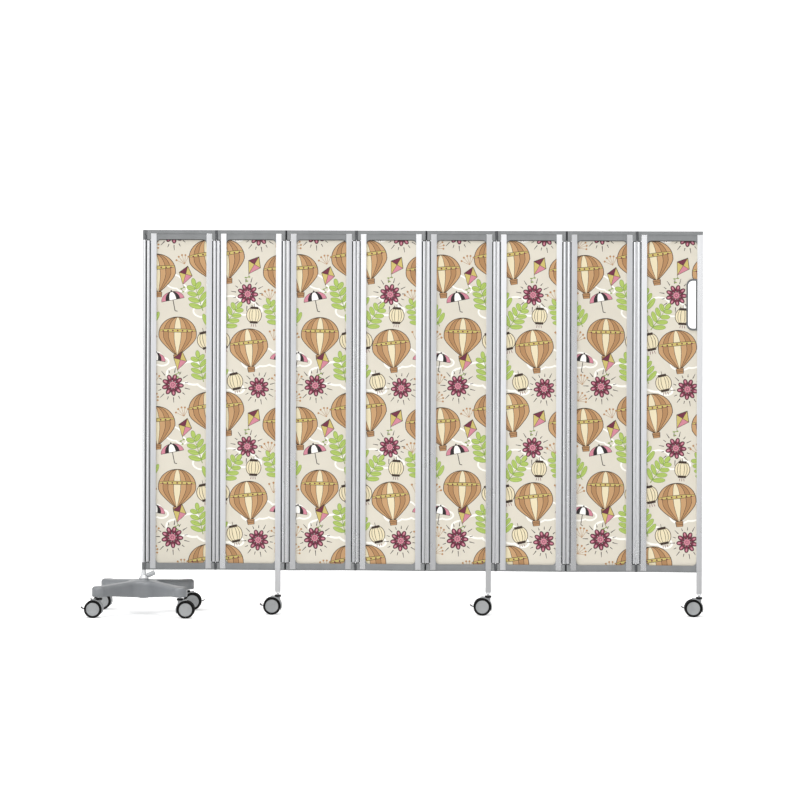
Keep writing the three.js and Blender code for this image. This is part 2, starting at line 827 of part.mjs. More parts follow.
// The tread's facets touch the wheel's radius, and one of them lies flat on the floor.
function buildWheels() {
  const treadRadius = wheelRadius / Math.cos(Math.PI / wheelFacets);
  const rimRadius = treadRadius - wheelEdgeRadius;
  const wheels = new THREE.LatheGeometry(
    [
      [0, -wheelOuter],
      [rimRadius, -wheelOuter],
      [treadRadius, wheelEdgeRadius - wheelOuter],
      [treadRadius, -wheelInner],
      [axleRadius, -wheelInner],
      [axleRadius, wheelInner],
      [treadRadius, wheelInner],
      [treadRadius, wheelOuter - wheelEdgeRadius],
      [rimRadius, wheelOuter],
      [0, wheelOuter],
    ].map(([radius, along]) => new THREE.Vector2(radius, along)),
    wheelFacets,
  );
  wheels.rotateY(Math.PI / wheelFacets);
  wheels.translate(-casterTrail, 0, wheelRadius);
  return toSolid(wheels);
}

// Brake lever in side view: a thin blade that rises to its tip behind the wheels.
function leverOutline() {
  const tipX = -casterTrail - wheelRadius - leverReach;
  const half = leverBladeThickness / 2;
  const rise = leverTipRise;
  const shape = new THREE.Shape();
  shape.moveTo(pivotX, half - pivotZ);
  shape.quadraticCurveTo((pivotX + tipX) / 2, half - pivotZ, tipX, half - pivotZ - rise);
  shape.lineTo(tipX, -half - pivotZ - rise);
  shape.quadraticCurveTo((pivotX + tipX) / 2, -half - pivotZ, pivotX, -half - pivotZ);
  shape.closePath();
  return shape;
}

function buildLever() {
  const blade = standUp(leverOutline(), leverHubThickness).scale([1, 1, -1]);
  const wide = standUp(leverOutline(), pedalWidth).scale([1, 1, -1]);
  const tipX = -casterTrail - wheelRadius - leverReach;
  const pedalEnd = tipX + pedalLength;
  const pedalZone = blockBetween([tipX - pedalLength, -pedalWidth, 0], [pedalEnd, pedalWidth, pivotZ * 2]);
  const hub = crossCylinder(leverHubRadius, pivotX, pivotZ, leverHubThickness, knuckleFacets);
  const pin = crossCylinder(leverPinRadius, pivotX, pivotZ, cheekThickness, knuckleFacets);
  return join(blade, wide.intersect(pedalZone), hub, pin);
}

// Assembly

function addCaster(parent, name, x, y, turn, hasBrake, stemTop) {
  const swivel = new THREE.Group();
  swivel.position.set(x, y, 0);
  swivel.rotation.z = turn;
  parent.add(swivel);
  swivel.add(makeMesh(`${name}_housing`, buildCasterHousing(stemTop, hasBrake), colours.casterGrey));
  swivel.add(makeMesh(`${name}_wheels`, buildWheels(), colours.wheelBlack));
  if (hasBrake) {
    swivel.add(makeMesh(`${name}_brake_lever`, buildLever(), colours.leverBlack));
  }
}

function buildBaseGroup() {
  const base = new THREE.Group();
  base.add(makeMesh('base_casting', buildBase(), colours.castGrey));
  base.add(makeMesh('post_foot', buildPostFoot(), colours.footGrey));
  base.add(makeMesh('post_rod', buildPostRod(), colours.steel));
  base.add(makeMesh('post_sleeve', buildPostSleeve(), colours.aluminium));
  const stemTop = baseUnderside + stemInsertion;
  for (const place of stemPlaces()) {
    addCaster(base, `caster_${place.name}`, place.x, place.y, place.turn, place.brake, stemTop);
  }
  return base;
}

function buildPanelGroup(index, heading) {
  const panel = new THREE.Group();
  const name = `panel_${index}`;
  panel.add(makeMesh(`${name}_frame`, buildFrame(index), colours.aluminium));
  panel.add(makeMesh(`${name}_infill`, buildInfill(index), colours.infill));
  panel.add(makeMesh(`${name}_top_cap`, buildTopCap(index), colours.capPlastic));
  panel.add(makeMesh(`${name}_bottom_cap`, buildBottomCap(index), colours.capPlastic));
  if (index === panelCount) {
    panel.add(makeMesh('handle_bezel', buildHandleBezel(), colours.bezelGrey));
  }
  if (leggedPanels.includes(index)) {
    panel.add(makeMesh(`leg_${index}`, buildLeg(), colours.aluminium));
    const stemTop = legBottom + stemInsertion;
    addCaster(panel, `caster_leg_${index}`, legCentre, 0, -heading, true, stemTop);
  }
  return panel;
}

const group = new THREE.Group();
group.add(buildBaseGroup());

// Each panel hangs on the one before it, at a pivot on the hinge pin.
let parent = group;
const foldAngle = THREE.MathUtils.degToRad(restFoldDeg);
for (let index = 1; index <= panelCount; index += 1) {
  const heading = index % 2 === 1 ? foldAngle : -foldAngle;
  const pivot = new THREE.Group();
  const panel = buildPanelGroup(index, heading);
  if (index === 1) {
    pivot.rotation.z = heading;
    panel.position.x = postOffset;
  } else {
    const axis = hingeSide(index - 1) * hingeAxisOffset;
    pivot.position.set(panelPitch, axis, 0);
    pivot.rotation.z = heading * 2;
    panel.position.y = -axis;
  }
  pivot.name = `pivot_${index}`;
  pivot.add(panel);
  parent.add(pivot);
  parent = panel;
}

// The origin goes under the middle of the screen's bounding box.
group.updateMatrixWorld(true);
const bounds = new THREE.Box3().setFromObject(group, true);
const middle = bounds.getCenter(new THREE.Vector3());
group.position.set(-middle.x, -middle.y, -bounds.min.z);

export default group;
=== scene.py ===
# %% [markdown]
# A ward privacy screen on wheels: eight hinged panels, a post on a four-armed base, and three
# caster legs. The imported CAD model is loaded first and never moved. Every piece below is
# modelled at the place that the CAD gives it, in metres, and rides on the CAD's bodies.

import json
import math
import random

import bmesh
import bpy
from mathutils import Matrix, Vector
from mathutils.geometry import delaunay_2d_cdt


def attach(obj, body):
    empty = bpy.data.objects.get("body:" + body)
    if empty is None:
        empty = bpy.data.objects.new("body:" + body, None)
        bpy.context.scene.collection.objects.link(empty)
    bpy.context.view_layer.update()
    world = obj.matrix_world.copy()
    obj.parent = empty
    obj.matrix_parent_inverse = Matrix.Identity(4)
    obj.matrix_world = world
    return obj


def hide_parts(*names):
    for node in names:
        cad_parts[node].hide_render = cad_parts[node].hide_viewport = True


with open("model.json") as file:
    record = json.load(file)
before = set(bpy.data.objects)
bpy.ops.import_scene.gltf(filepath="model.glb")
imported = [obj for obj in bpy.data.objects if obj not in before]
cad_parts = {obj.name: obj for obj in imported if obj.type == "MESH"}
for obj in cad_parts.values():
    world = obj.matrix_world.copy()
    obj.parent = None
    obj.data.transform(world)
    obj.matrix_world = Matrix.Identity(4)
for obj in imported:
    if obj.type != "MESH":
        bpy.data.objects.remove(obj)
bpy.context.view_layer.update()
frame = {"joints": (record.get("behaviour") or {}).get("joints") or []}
joints = {joint["name"]: joint for joint in frame["joints"]}

# %% [markdown]
# The camera stands where the photographer stood: far off, so that the uprights stay parallel,
# a little above the middle of the screen, and turned slightly to the left. The view is moved in
# the film plane, as with a shift lens, which keeps the uprights upright.

# %% Camera
CAMERA_PLACE = Vector((0.253, -13.0, 1.4))
CAMERA_YAW = math.radians(1.377)
CAMERA_ROLL = math.radians(0.192)
CAMERA_SHIFT = (0.024, -0.139)
LENS = 136.36
SENSOR_WIDTH = 36
CLIP_END = 100

right = Vector((math.cos(CAMERA_YAW), math.sin(CAMERA_YAW), 0))
forward = Vector((-math.sin(CAMERA_YAW), math.cos(CAMERA_YAW), 0))
upright = Vector((0, 0, 1))
rolled_right = right * math.cos(CAMERA_ROLL) + upright * math.sin(CAMERA_ROLL)
rolled_up = upright * math.cos(CAMERA_ROLL) - right * math.sin(CAMERA_ROLL)
axes = Matrix((rolled_right, rolled_up, -forward)).transposed().to_4x4()

lens_data = bpy.data.cameras.new("camera")
lens_data.sensor_width = SENSOR_WIDTH
lens_data.lens = LENS
lens_data.shift_x, lens_data.shift_y = CAMERA_SHIFT
lens_data.clip_end = CLIP_END
camera = bpy.data.objects.new("camera", lens_data)
bpy.context.scene.collection.objects.link(camera)
camera.matrix_world = Matrix.Translation(CAMERA_PLACE) @ axes
bpy.context.scene.camera = camera
print("camera", [round(value, 3) for value in CAMERA_PLACE], "lens", LENS)

# %% [markdown]
# Helpers that do by script what a hand does in the viewport: add a primitive with nothing else
# selected, go into edit mode, pick faces or edges by where they are, use a tool, and come out.

# %% Modelling helpers
TOUCH = 1e-5
FINE_BREAK = 0.0003
BREAK = 0.0005


def fresh(name, add, **options):
    """Adds a primitive at its place, with everything else deselected, and names it."""
    bpy.ops.object.select_all(action="DESELECT")
    add(**options)
    piece = bpy.context.object
    piece.name = name
    piece.data.name = name
    return piece


def only(piece):
    """Makes this piece the one that operators act on."""
    bpy.ops.object.select_all(action="DESELECT")
    piece.select_set(True)
    bpy.context.view_layer.objects.active = piece


def join_into(target, other):
    """Makes the other piece part of the target, each shell as it is."""
    only(other)
    target.select_set(True)
    bpy.context.view_layer.objects.active = target
    bpy.ops.object.join()
    return target


def settle(piece):
    """Puts the object's place, turn and scale into its mesh."""
    only(piece)
    bpy.ops.object.transform_apply(location=True, rotation=True, scale=True)
    return piece


def editing(piece, kind="FACE"):
    only(piece)
    bpy.ops.object.mode_set(mode="EDIT")
    bpy.ops.mesh.select_mode(type=kind)
    bpy.ops.mesh.select_all(action="DESELECT")


def done():
    bpy.ops.object.mode_set(mode="OBJECT")


def is_upright(direction):
    return abs(direction.z) > 0.9


def pick_faces(piece, wanted):
    mesh = bmesh.from_edit_mesh(piece.data)
    for face in mesh.faces:
        face.select_set(bool(wanted(face.calc_center_median(), face.normal)))
    bmesh.update_edit_mesh(piece.data)


def pick_edges(piece, wanted):
    mesh = bmesh.from_edit_mesh(piece.data)
    for edge in mesh.edges:
        start, end = (vertex.co for vertex in edge.verts)
        edge.select_set(bool(wanted((start + end) / 2, (end - start).normalized())))
    bmesh.update_edit_mesh(piece.data)


def extrude(x, y, z):
    """Pulls the selection out, as E does."""
    bpy.ops.mesh.extrude_region_move(TRANSFORM_OT_translate={"value": (x, y, z)})


def slice_across(piece, depths):
    """Goes into edit mode and cuts edges all round the piece at some depths."""
    editing(piece)
    for depth in depths:
        bpy.ops.mesh.select_all(action="SELECT")
        bpy.ops.mesh.bisect(plane_co=(0, depth, 0), plane_no=(0, 1, 0))
    bpy.ops.mesh.select_all(action="DESELECT")


def pick_points(piece, wanted):
    mesh = bmesh.from_edit_mesh(piece.data)
    for vertex in mesh.verts:
        vertex.select_set(bool(wanted(vertex.co)))
    mesh.select_flush_mode()
    bmesh.update_edit_mesh(piece.data)


def round_edges(piece, wanted, radius, segments=6):
    """Rounds the chosen edges, as Ctrl B does."""
    editing(piece, "EDGE")
    pick_edges(piece, wanted)
    bpy.ops.mesh.bevel(offset=radius, segments=segments, affect="EDGES")
    done()
    return piece


def modify(piece, kind, **settings):
    """Adds one modifier and applies it at once."""
    modifier = piece.modifiers.new(kind.title(), kind)
    for key, value in settings.items():
        setattr(modifier, key, value)
    only(piece)
    bpy.ops.object.modifier_apply(modifier=modifier.name)
    return piece


def combine(piece, tool, operation="UNION"):
    """Joins, cuts or keeps what two closed shapes share, and clears the tool away."""
    modify(piece, "BOOLEAN", operation=operation, object=tool, solver="EXACT")
    bpy.data.objects.remove(tool)
    return piece


def cut(piece, tool):
    return combine(piece, tool, "DIFFERENCE")


def soften(piece, width, segments=2, angle=35, smooth=30):
    """Breaks the sharp edges and smooths the round faces."""
    options = {"limit_method": "ANGLE", "angle_limit": math.radians(angle)}
    modify(piece, "BEVEL", width=width, segments=segments, use_clamp_overlap=False, **options)
    return polish(piece, smooth)


def polish(piece, smooth=30):
    """Smooths round faces, and keeps flat faces flat where they meet a bevel."""
    only(piece)
    bpy.ops.object.shade_smooth_by_angle(angle=math.radians(smooth))
    return modify(piece, "WEIGHTED_NORMAL", keep_sharp=True)


def outward(piece):
    editing(piece)
    bpy.ops.mesh.select_all(action="SELECT")
    bpy.ops.mesh.remove_doubles(threshold=TOUCH)
    bpy.ops.mesh.normals_make_consistent(inside=False)
    done()
    return piece


def block(name, low, high):
    """A box between two corners, exact enough for faces that lie flush with another's."""
    middle = [(a + b) / 2 for a, b in zip(low, high)]
    piece = fresh(name, bpy.ops.mesh.primitive_cube_add, size=1, location=middle)
    piece.scale = [b - a for a, b in zip(low, high)]
    settle(piece)
    for vertex in piece.data.vertices:
        vertex.co = [b if value > m else a for value, a, b, m in zip(vertex.co, low, high, middle)]
    return piece


def rod(name, radius, x, y, bottom, top, sides=48):
    place = (x, y, (bottom + top) / 2)
    depth = top - bottom
    add = bpy.ops.mesh.primitive_cylinder_add
    return settle(fresh(name, add, vertices=sides, radius=radius, depth=depth, location=place))


def tube(name, radius, wall, x, y, bottom, top, sides):
    """An open cylinder with its wall added inwards."""
    place = (x, y, (bottom + top) / 2)
    options = {"vertices": sides, "radius": radius, "depth": top - bottom, "location": place}
    add = bpy.ops.mesh.primitive_cylinder_add
    piece = settle(fresh(name, add, end_fill_type="NOTHING", **options))
    return outward(modify(piece, "SOLIDIFY", thickness=wall, offset=-1))


def stacked(name, rings, sides=48):
    """A round piece built upwards: each ring extrudes the face before it and scales it."""
    radius, height = rings[0]
    options = {"vertices": sides, "radius": radius, "fill_type": "NGON", "location": (0, 0, height)}
    piece = settle(fresh(name, bpy.ops.mesh.primitive_circle_add, **options))
    editing(piece)
    bpy.ops.mesh.select_all(action="SELECT")
    for next_radius, next_height in rings[1:]:
        extrude(0, 0, next_height - height)
        ratio = next_radius / radius
        bpy.ops.transform.resize(value=(ratio, ratio, 1), center_override=(0, 0, next_height))
        radius, height = next_radius, next_height
    done()
    return outward(piece)


def turned_to(piece, matrix):
    piece.data.transform(matrix)
    piece.data.update()
    return piece


def mirrored(piece, name, matrix):
    """A mirrored copy with its own mesh, its faces turned outwards again."""
    return outward(turned_to(copied(piece, name), matrix))


def copied(piece, name, matrix=None):
    """A copy with its own mesh, moved to its place."""
    twin = piece.copy()
    twin.data = piece.data.copy()
    twin.name = name
    twin.data.name = name
    bpy.context.scene.collection.objects.link(twin)
    return turned_to(twin, matrix) if matrix else twin


def discard(*pieces):
    for piece in pieces:
        bpy.data.objects.remove(piece)


print("helpers ready")

# %% [markdown]
# Finishes are mixed from noise on Object coordinates, so that each keeps its grain at every pose.
# A helper adds one node and links its inputs, and each finish then reads like a recipe.

# %% Helpers for the finishes


def linear(red, green, blue):
    """A colour picked as 0 to 255 on a screen, as the renderer wants it."""
    parts = [value / 255 for value in (red, green, blue)]
    return [p / 12.92 if p <= 0.04045 else ((p + 0.055) / 1.055) ** 2.4 for p in parts]


def new_finish(name, roughness, metallic=0.0, **constants):
    material = bpy.data.materials.new(name)
    material.use_nodes = True
    shader = material.node_tree.nodes["Principled BSDF"]
    shader.inputs["Roughness"].default_value = roughness
    shader.inputs["Metallic"].default_value = metallic
    for key, value in constants.items():
        shader.inputs[key.replace("_", " ")].default_value = value
    return material, shader


def node(material, kind, settings=(), **inputs):
    """Adds a node. An input given as a socket is linked, and any other is set."""
    made = material.node_tree.nodes.new(kind)
    for key, value in dict(settings).items():
        setattr(made, key, value)
    for key, value in inputs.items():
        socket = made.inputs[key.replace("_", " ")]
        if isinstance(value, bpy.types.NodeSocket):
            material.node_tree.links.new(value, socket)
        else:
            socket.default_value = value
    return made


def grain(material, scale, stretch=(1, 1, 1), detail=3.0):
    """Noise in Object coordinates, stretched along an axis where its share is small."""
    place = node(material, "ShaderNodeTexCoord").outputs["Object"]
    mapped = node(material, "ShaderNodeMapping", Vector=place, Scale=stretch).outputs["Vector"]
    options = {"Vector": mapped, "Scale": scale, "Detail": detail}
    return node(material, "ShaderNodeTexNoise", **options).outputs["Fac"]


def product(material, first, second):
    """Multiplies two values."""
    made = node(material, "ShaderNodeMath", {"operation": "MULTIPLY"})
    material.node_tree.links.new(first, made.inputs[0])
    material.node_tree.links.new(second, made.inputs[1])
    return made.outputs["Value"]


def spread(material, value, low, high):
    """Maps noise, which lies mostly between 0.3 and 0.7, to a range."""
    options = {"From_Min": 0.3, "From_Max": 0.7, "To_Min": low, "To_Max": high}
    return node(material, "ShaderNodeMapRange", Value=value, **options).outputs["Result"]


def tint(material, shader, value, dark, light):
    """Varies the colour between two near shades."""
    ramp = node(material, "ShaderNodeValToRGB", Fac=value)
    ramp.color_ramp.elements[0].position = 0.3
    ramp.color_ramp.elements[1].position = 0.7
    ramp.color_ramp.elements[0].color = (*linear(*dark), 1)
    ramp.color_ramp.elements[1].color = (*linear(*light), 1)
    material.node_tree.links.new(ramp.outputs["Color"], shader.inputs["Base Color"])


def rough(material, shader, value, low, high):
    result = spread(material, value, low, high)
    material.node_tree.links.new(result, shader.inputs["Roughness"])


def relief(material, shader, height, strength, distance):
    bump = node(material, "ShaderNodeBump", Height=height, Strength=strength, Distance=distance)
    material.node_tree.links.new(bump.outputs["Normal"], shader.inputs["Normal"])


print("finish helpers ready")

# %% [markdown]
# The metals. The stiles are satin anodised extrusions with the fine lengthwise lines that the die
# leaves, so the noise is drawn out along the height. The steel of the post is smoother, and the
# foot is silver paint with a slight ripple.

# %% Metal finishes
satin_aluminium, shader = new_finish("satin_aluminium", 0.36, 1.0)
die_lines = grain(satin_aluminium, 900, (1, 1, 0.004), 2.0)
cloudiness = grain(satin_aluminium, 7, (1, 1, 0.35), 4.0)
tint(satin_aluminium, shader, die_lines, (236, 237, 239), (247, 248, 250))
rough(satin_aluminium, shader, cloudiness, 0.25, 0.34)
relief(satin_aluminium, shader, die_lines, 0.07, 0.0002)

post_steel, shader = new_finish("post_steel", 0.25, 1.0)
draw_lines = grain(post_steel, 700, (1, 1, 0.01), 2.0)
tint(post_steel, shader, draw_lines, (206, 208, 211), (224, 226, 229))
rough(post_steel, shader, grain(post_steel, 20), 0.2, 0.32)
relief(post_steel, shader, draw_lines, 0.08, 0.0002)

foot_paint, shader = new_finish("foot_paint", 0.35, 0.35, Coat_Weight=0.3)
foot_ripple = grain(foot_paint, 380)
tint(foot_paint, shader, grain(foot_paint, 60), (205, 206, 208), (219, 220, 222))
rough(foot_paint, shader, foot_ripple, 0.3, 0.42)
relief(foot_paint, shader, foot_ripple, 0.1, 0.0003)
print("metals", satin_aluminium.name, post_steel.name, foot_paint.name)

# %% [markdown]
# The plastics and the paint. The caps and the caster bodies are grey mouldings with a fine grain.
# The base casting is sprayed, which leaves an orange-peel ripple under a soft shine. The tyres
# are black rubber with a little floor dust, and the levers and collars are black nylon.

# %% Plastic, paint and rubber finishes


def moulded(name, dark, light, roughness, grain_scale=1500, sheen=0.0):
    """A moulded plastic: faint clouds in the colour, a fine spark-eroded grain on the face."""
    material, shader = new_finish(name, roughness, 0.0, Coat_Weight=sheen)
    tint(material, shader, grain(material, 30, (1, 1, 0.4)), dark, light)
    fine = grain(material, grain_scale, detail=2.0)
    rough(material, shader, fine, roughness - 0.06, roughness + 0.08)
    relief(material, shader, fine, 0.22, 0.0003)
    return material


cap_plastic = moulded("cap_plastic", (119, 121, 122), (125, 127, 128), 0.48)
# Dark grey for the hinge barrels, partly dark plastic, and painted shade on the cap ends beside each
# hinge, where the gap between two panels lies in shade.
barrel_and_gap_shade = moulded("barrel_and_gap_shade", (66, 68, 70), (76, 78, 80), 0.5)
bezel_plastic = moulded("bezel_plastic", (92, 94, 96), (100, 102, 104), 0.42)
caster_plastic = moulded("caster_plastic", (140, 142, 144), (150, 152, 154), 0.45)
hub_plastic = moulded("hub_plastic", (138, 140, 141), (150, 152, 153), 0.5, 900)
# Black for strips that are painted shade and painted shadow: in the grooves beside the hinge columns,
# beside the post, and under the top caps, where the caps cast their shadow on the sheet.
painted_shade_black = moulded("painted_shade_black", (42, 44, 46), (54, 56, 58), 0.65, 1100)
# Dark grey for the lips that close the gaps between panels; the dark grey is painted shade of those
# gaps.
gap_shade_grey = moulded("gap_shade_grey", (88, 90, 92), (98, 100, 102), 0.65, 1100)
barrel_plastic = moulded("barrel_plastic", (96, 98, 99), (104, 106, 107), 0.5)
insert_plastic = moulded("insert_plastic", (224, 225, 226), (233, 234, 235), 0.45)
knob_plastic = moulded("knob_plastic", (176, 178, 180), (190, 192, 194), 0.4)
lever_black = moulded("lever_black", (6, 6, 7), (13, 13, 14), 0.55)

base_paint, shader = new_finish("base_paint", 0.38, 0.0, Coat_Weight=0.6, Coat_Roughness=0.16)
orange_peel = grain(base_paint, 300, detail=2.0)
tint(base_paint, shader, grain(base_paint, 9), (112, 115, 118), (121, 124, 127))
rough(base_paint, shader, grain(base_paint, 45), 0.33, 0.46)
relief(base_paint, shader, orange_peel, 0.12, 0.0004)

tyre_black, shader = new_finish("tyre_black", 0.8, Specular_IOR_Level=0.22)
dust = grain(tyre_black, 160, detail=6.0)
tint(tyre_black, shader, dust, (4, 4, 5), (13, 13, 13))
rough(tyre_black, shader, dust, 0.62, 0.85)
relief(tyre_black, shader, grain(tyre_black, 1200), 0.25, 0.0003)
print("plastics and rubber ready")

# %% [markdown]
# The infill sheets are printed. The colour of each patch of ink is stored on the mesh, in an
# attribute, and one finish reads it. On top come the fine speckle of the print, faint clouds
# from the ink's thickness and the weave of the film.

# %% Printed finish
printed_sheet, shader = new_finish("printed_sheet", 0.5)
ink = node(printed_sheet, "ShaderNodeAttribute", {"attribute_name": "ink"}).outputs["Color"]
speckle = spread(printed_sheet, grain(printed_sheet, 700, detail=2.0), 0.965, 1.02)
clouds = spread(printed_sheet, grain(printed_sheet, 11), 0.975, 1.01)
strength = product(printed_sheet, speckle, clouds)
shade = node(printed_sheet, "ShaderNodeVectorMath", {"operation": "SCALE"}, Scale=strength)
printed_sheet.node_tree.links.new(ink, shade.inputs[0])
printed_sheet.node_tree.links.new(shade.outputs[0], shader.inputs["Base Color"])
rough(printed_sheet, shader, grain(printed_sheet, 60), 0.42, 0.55)
relief(printed_sheet, shader, grain(printed_sheet, 2200, detail=1.0), 0.15, 0.0002)
print("print finish ready")

# %% [markdown]
# Where each panel stands. The CAD's hinge pins are moulded at the front or at the back face by
# turns, so the screen folds like a concertina. From each pin follows the left hinge plane of
# its panel, and the panel's heading is three degrees to one side or the other.

# %% Places of the panels
PANELS = 8
LEGGED = (2, 5, 8)
PITCH = 0.300
REST_FOLD = math.radians(3)
PIN_OFFSET = 0.0118
POST_OFFSET = 0.0081

post_x, post_y, _ = joints["post_hinge"]["pos_m"]
bpy.context.view_layer.update()


def hinge_side(hinge):
    """The face that a hinge's pin is at: -1 for the front, 1 for the back."""
    return -1 if hinge % 2 else 1


def panel_matrix(index):
    """From a panel's own axes (along, across, up) to the row frame."""
    heading = REST_FOLD if index % 2 else -REST_FOLD
    turn = Matrix.Rotation(heading, 4, "Z")
    if index == 1:
        corner = Vector((post_x, post_y, 0)) + turn @ Vector((POST_OFFSET, 0, 0))
    else:
        pin_x, pin_y, _ = joints[f"panel_hinge_{index - 1}"]["pos_m"]
        to_pin = Vector((0, hinge_side(index - 1) * PIN_OFFSET, 0))
        corner = Vector((pin_x, pin_y, 0)) - turn @ to_pin
    return Matrix.Translation(corner) @ turn


places = {index: panel_matrix(index) for index in range(1, PANELS + 1)}


def mount(piece, body, material, slot, *nodes):
    """Gives a finished piece its finish and its CAD body, and the CAD nodes it stands for."""
    if material:
        piece.data.materials.clear()
        piece.data.materials.append(material)
    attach(piece, body)
    if nodes:
        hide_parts(*nodes)
    return piece


def on_panels(model, word, material, slot, panels=tuple(places)):
    """Puts a copy of one model on each of these panels, and clears the model away."""
    for index in panels:
        piece = copied(model, f"{word}_{index}", places[index])
        mount(piece, f"panel_{index}", material, slot)
    discard(model)


print("panel corners", [tuple(round(v, 3) for v in places[i].translation[:2]) for i in places])

# %% [markdown]
# A stile is one aluminium extrusion: a box section with a groove for the sheet, and beside it a
# round-fronted hinge column on a narrow web. It could be lofted from its section, but a bar cut
# and pushed in along its length shows the same faces with less work. It is modelled once. Black
# strips fill the groove between the column and the box, in front of the web and behind. They are
# painted shade, standing in for the shade in that groove.

# %% Stile
DEPTH = 0.011
STILE_LEFT = 0.019
STILE_RIGHT = 0.043
STILE_BOTTOM = 0.1953
STILE_TOP = 1.6347
COLUMN_RADIUS = 0.0075
COLUMN_MIDDLE = 0.0081
COLUMN_BOTTOM = 0.2213
COLUMN_TOP = 1.6077
WEB_HALF = 0.004
GROOVE_HALF = 0.0023
GROOVE_DEPTH = 0.006
EDGE = 0.0007
# Thickness of the black discs at each end of a column, which are painted shadow under the caps.
SHADE_DISC = 0.003
# Size of the black strips in the groove beside each column, which are painted shade.
GROOVE_SHADE_FRONT = 0.0075
GROOVE_SHADE_LAP = 0.0008

stile_box = block("stile_box", (STILE_LEFT, -DEPTH, STILE_BOTTOM), (STILE_RIGHT, DEPTH, STILE_TOP))
slice_across(stile_box, (-GROOVE_HALF, GROOVE_HALF))
pick_faces(stile_box, lambda c, n: n.x > 0.9 and abs(c.y) < GROOVE_HALF)
extrude(-GROOVE_DEPTH, 0, 0)
done()
outward(stile_box)
soften(stile_box, EDGE, 3)


def column_bar(name, bottom, top):
    """The column's section: a round bar whose front and back halves are moved apart."""
    bar = rod(name, COLUMN_RADIUS, COLUMN_MIDDLE, 0, bottom, top, 56)
    editing(bar, "VERT")
    for side in (-1, 1):
        bpy.ops.mesh.select_all(action="DESELECT")
        pick_points(bar, lambda p: p.y * side > TOUCH)
        bpy.ops.transform.translate(value=(0, side * (DEPTH - COLUMN_RADIUS), 0))
    done()
    return bar


low_end, high_end = COLUMN_BOTTOM + SHADE_DISC, COLUMN_TOP - SHADE_DISC
column = column_bar("stile_column", low_end, high_end)
web_start = COLUMN_MIDDLE + COLUMN_RADIUS - EDGE
web = block("web", (web_start, -WEB_HALF, low_end), (STILE_LEFT + EDGE, WEB_HALF, high_end))
combine(column, web)
plain_stile = copied(stile_box, "plain_stile")
combine(stile_box, column)
stile_model = polish(stile_box)
print("stile", len(stile_model.data.polygons), "faces")

# %% Stiles on every panel
flip = Matrix.Translation((PITCH, 0, 0)) @ Matrix.Diagonal((-1, 1, 1, 1))
right_model = polish(mirrored(stile_model, "right_stile_model", flip))
last_model = polish(mirrored(plain_stile, "last_stile_model", flip))
# Black strips in the groove beside the column, in front of the web and behind: painted shade.
groove_shade_left = COLUMN_MIDDLE + COLUMN_RADIUS - GROOVE_SHADE_LAP
groove_shade_model = block("groove_shade_model", (groove_shade_left, -GROOVE_SHADE_FRONT, low_end), (STILE_LEFT, GROOVE_SHADE_FRONT, high_end))
web_room = block("web_room", (0, -WEB_HALF, 0), (PITCH / 2, WEB_HALF, STILE_TOP))
soften(cut(groove_shade_model, web_room), EDGE / 2)
for index, place in places.items():
    body = f"panel_{index}"
    strips = copied(groove_shade_model, f"column_groove_shade_{index}")
    if index < PANELS:
        join_into(strips, mirrored(groove_shade_model, "right_strips", flip))
    mount(turned_to(strips, place), body, painted_shade_black, "lever_black")
    left_stile = copied(stile_model, f"left_stile_{index}", place)
    mount(left_stile, body, satin_aluminium, "satin_aluminium", f"{body}_frame")
    model = right_model if index < PANELS else last_model
    right_stile = copied(model, f"right_stile_{index}", place)
    mount(right_stile, body, satin_aluminium, "satin_aluminium")
discard(stile_model, right_model, last_model, plain_stile, groove_shade_model)
print("stiles", 2 * PANELS)

# %% [markdown]
# On the real screen no light shows between two panels, so a lip on each hinge column closes the
# gap to the next one. Its dark grey is painted shade, the shade in that gap. It stands on the
# side that opens when the panels fold, where it has room at every angle. Black strips in front
# and behind do the same beside the post, and their black is painted shade of the gap there.

# %% Lips that close the gaps
LIP_DEPTHS = (0.0070, 0.0084)
LIP_REACH = 0.0012
LIP_ROOT = 0.0028
POST_SHADE_STRIP = ((-0.0022, 0.0020), (0.0058, 0.0075))


def upright_strip(name, along, depths, side):
    """A rounded strip over the height of the columns, on one side of the panel."""
    near, far = sorted(side * depth for depth in depths)
    return soften(block(name, (along[0], near, low_end), (along[1], far, high_end)), EDGE / 2)


for hinge in range(1, PANELS):
    along = (PITCH - LIP_ROOT, PITCH + LIP_REACH)
    lip = upright_strip(f"gap_shade_lip_{hinge}", along, LIP_DEPTHS, -hinge_side(hinge))
    mount(turned_to(lip, places[hinge]), f"panel_{hinge}", gap_shade_grey, "lever_black")
for side, word in ((-1, "front"), (1, "back")):
    strip = upright_strip(f"post_shade_strip_{word}", *POST_SHADE_STRIP, side)
    mount(turned_to(strip, places[1]), "panel_1", painted_shade_black, "lever_black")
print("lips", PANELS + 1)

# %% [markdown]
# A thin black disc lies between each end of a hinge column and the cap above or below it. It is
# painted shadow: it stands in for the shadow under the cap's end block. It has the column's own
# outline, so the same bar is made once more, thin. The discs of a panel are one piece here.

# %% Column ends: painted shadow discs
SHADE_DISC_EDGE = 0.0004
low_shade_disc = column_bar("low_shade_disc", COLUMN_BOTTOM, low_end)
high_shade_disc = column_bar("high_shade_disc", high_end, COLUMN_TOP)
pair_model = soften(join_into(low_shade_disc, high_shade_disc), SHADE_DISC_EDGE)
other_pair = polish(mirrored(pair_model, "other_pair", flip))
set_model = join_into(copied(pair_model, "set_model"), other_pair)
# The discs take the levers' black finish, as painted shadow.
on_panels(set_model, "column_shade_discs", lever_black, "lever_black", range(1, PANELS))
on_panels(pair_model, "column_shade_discs", lever_black, "lever_black", [PANELS])
print("washer sets", PANELS)

# %% [markdown]
# The cross rail ties the two stiles together inside the bottom cap. It is a flat bar with a
# shallow channel along its top, where the sheet stands.

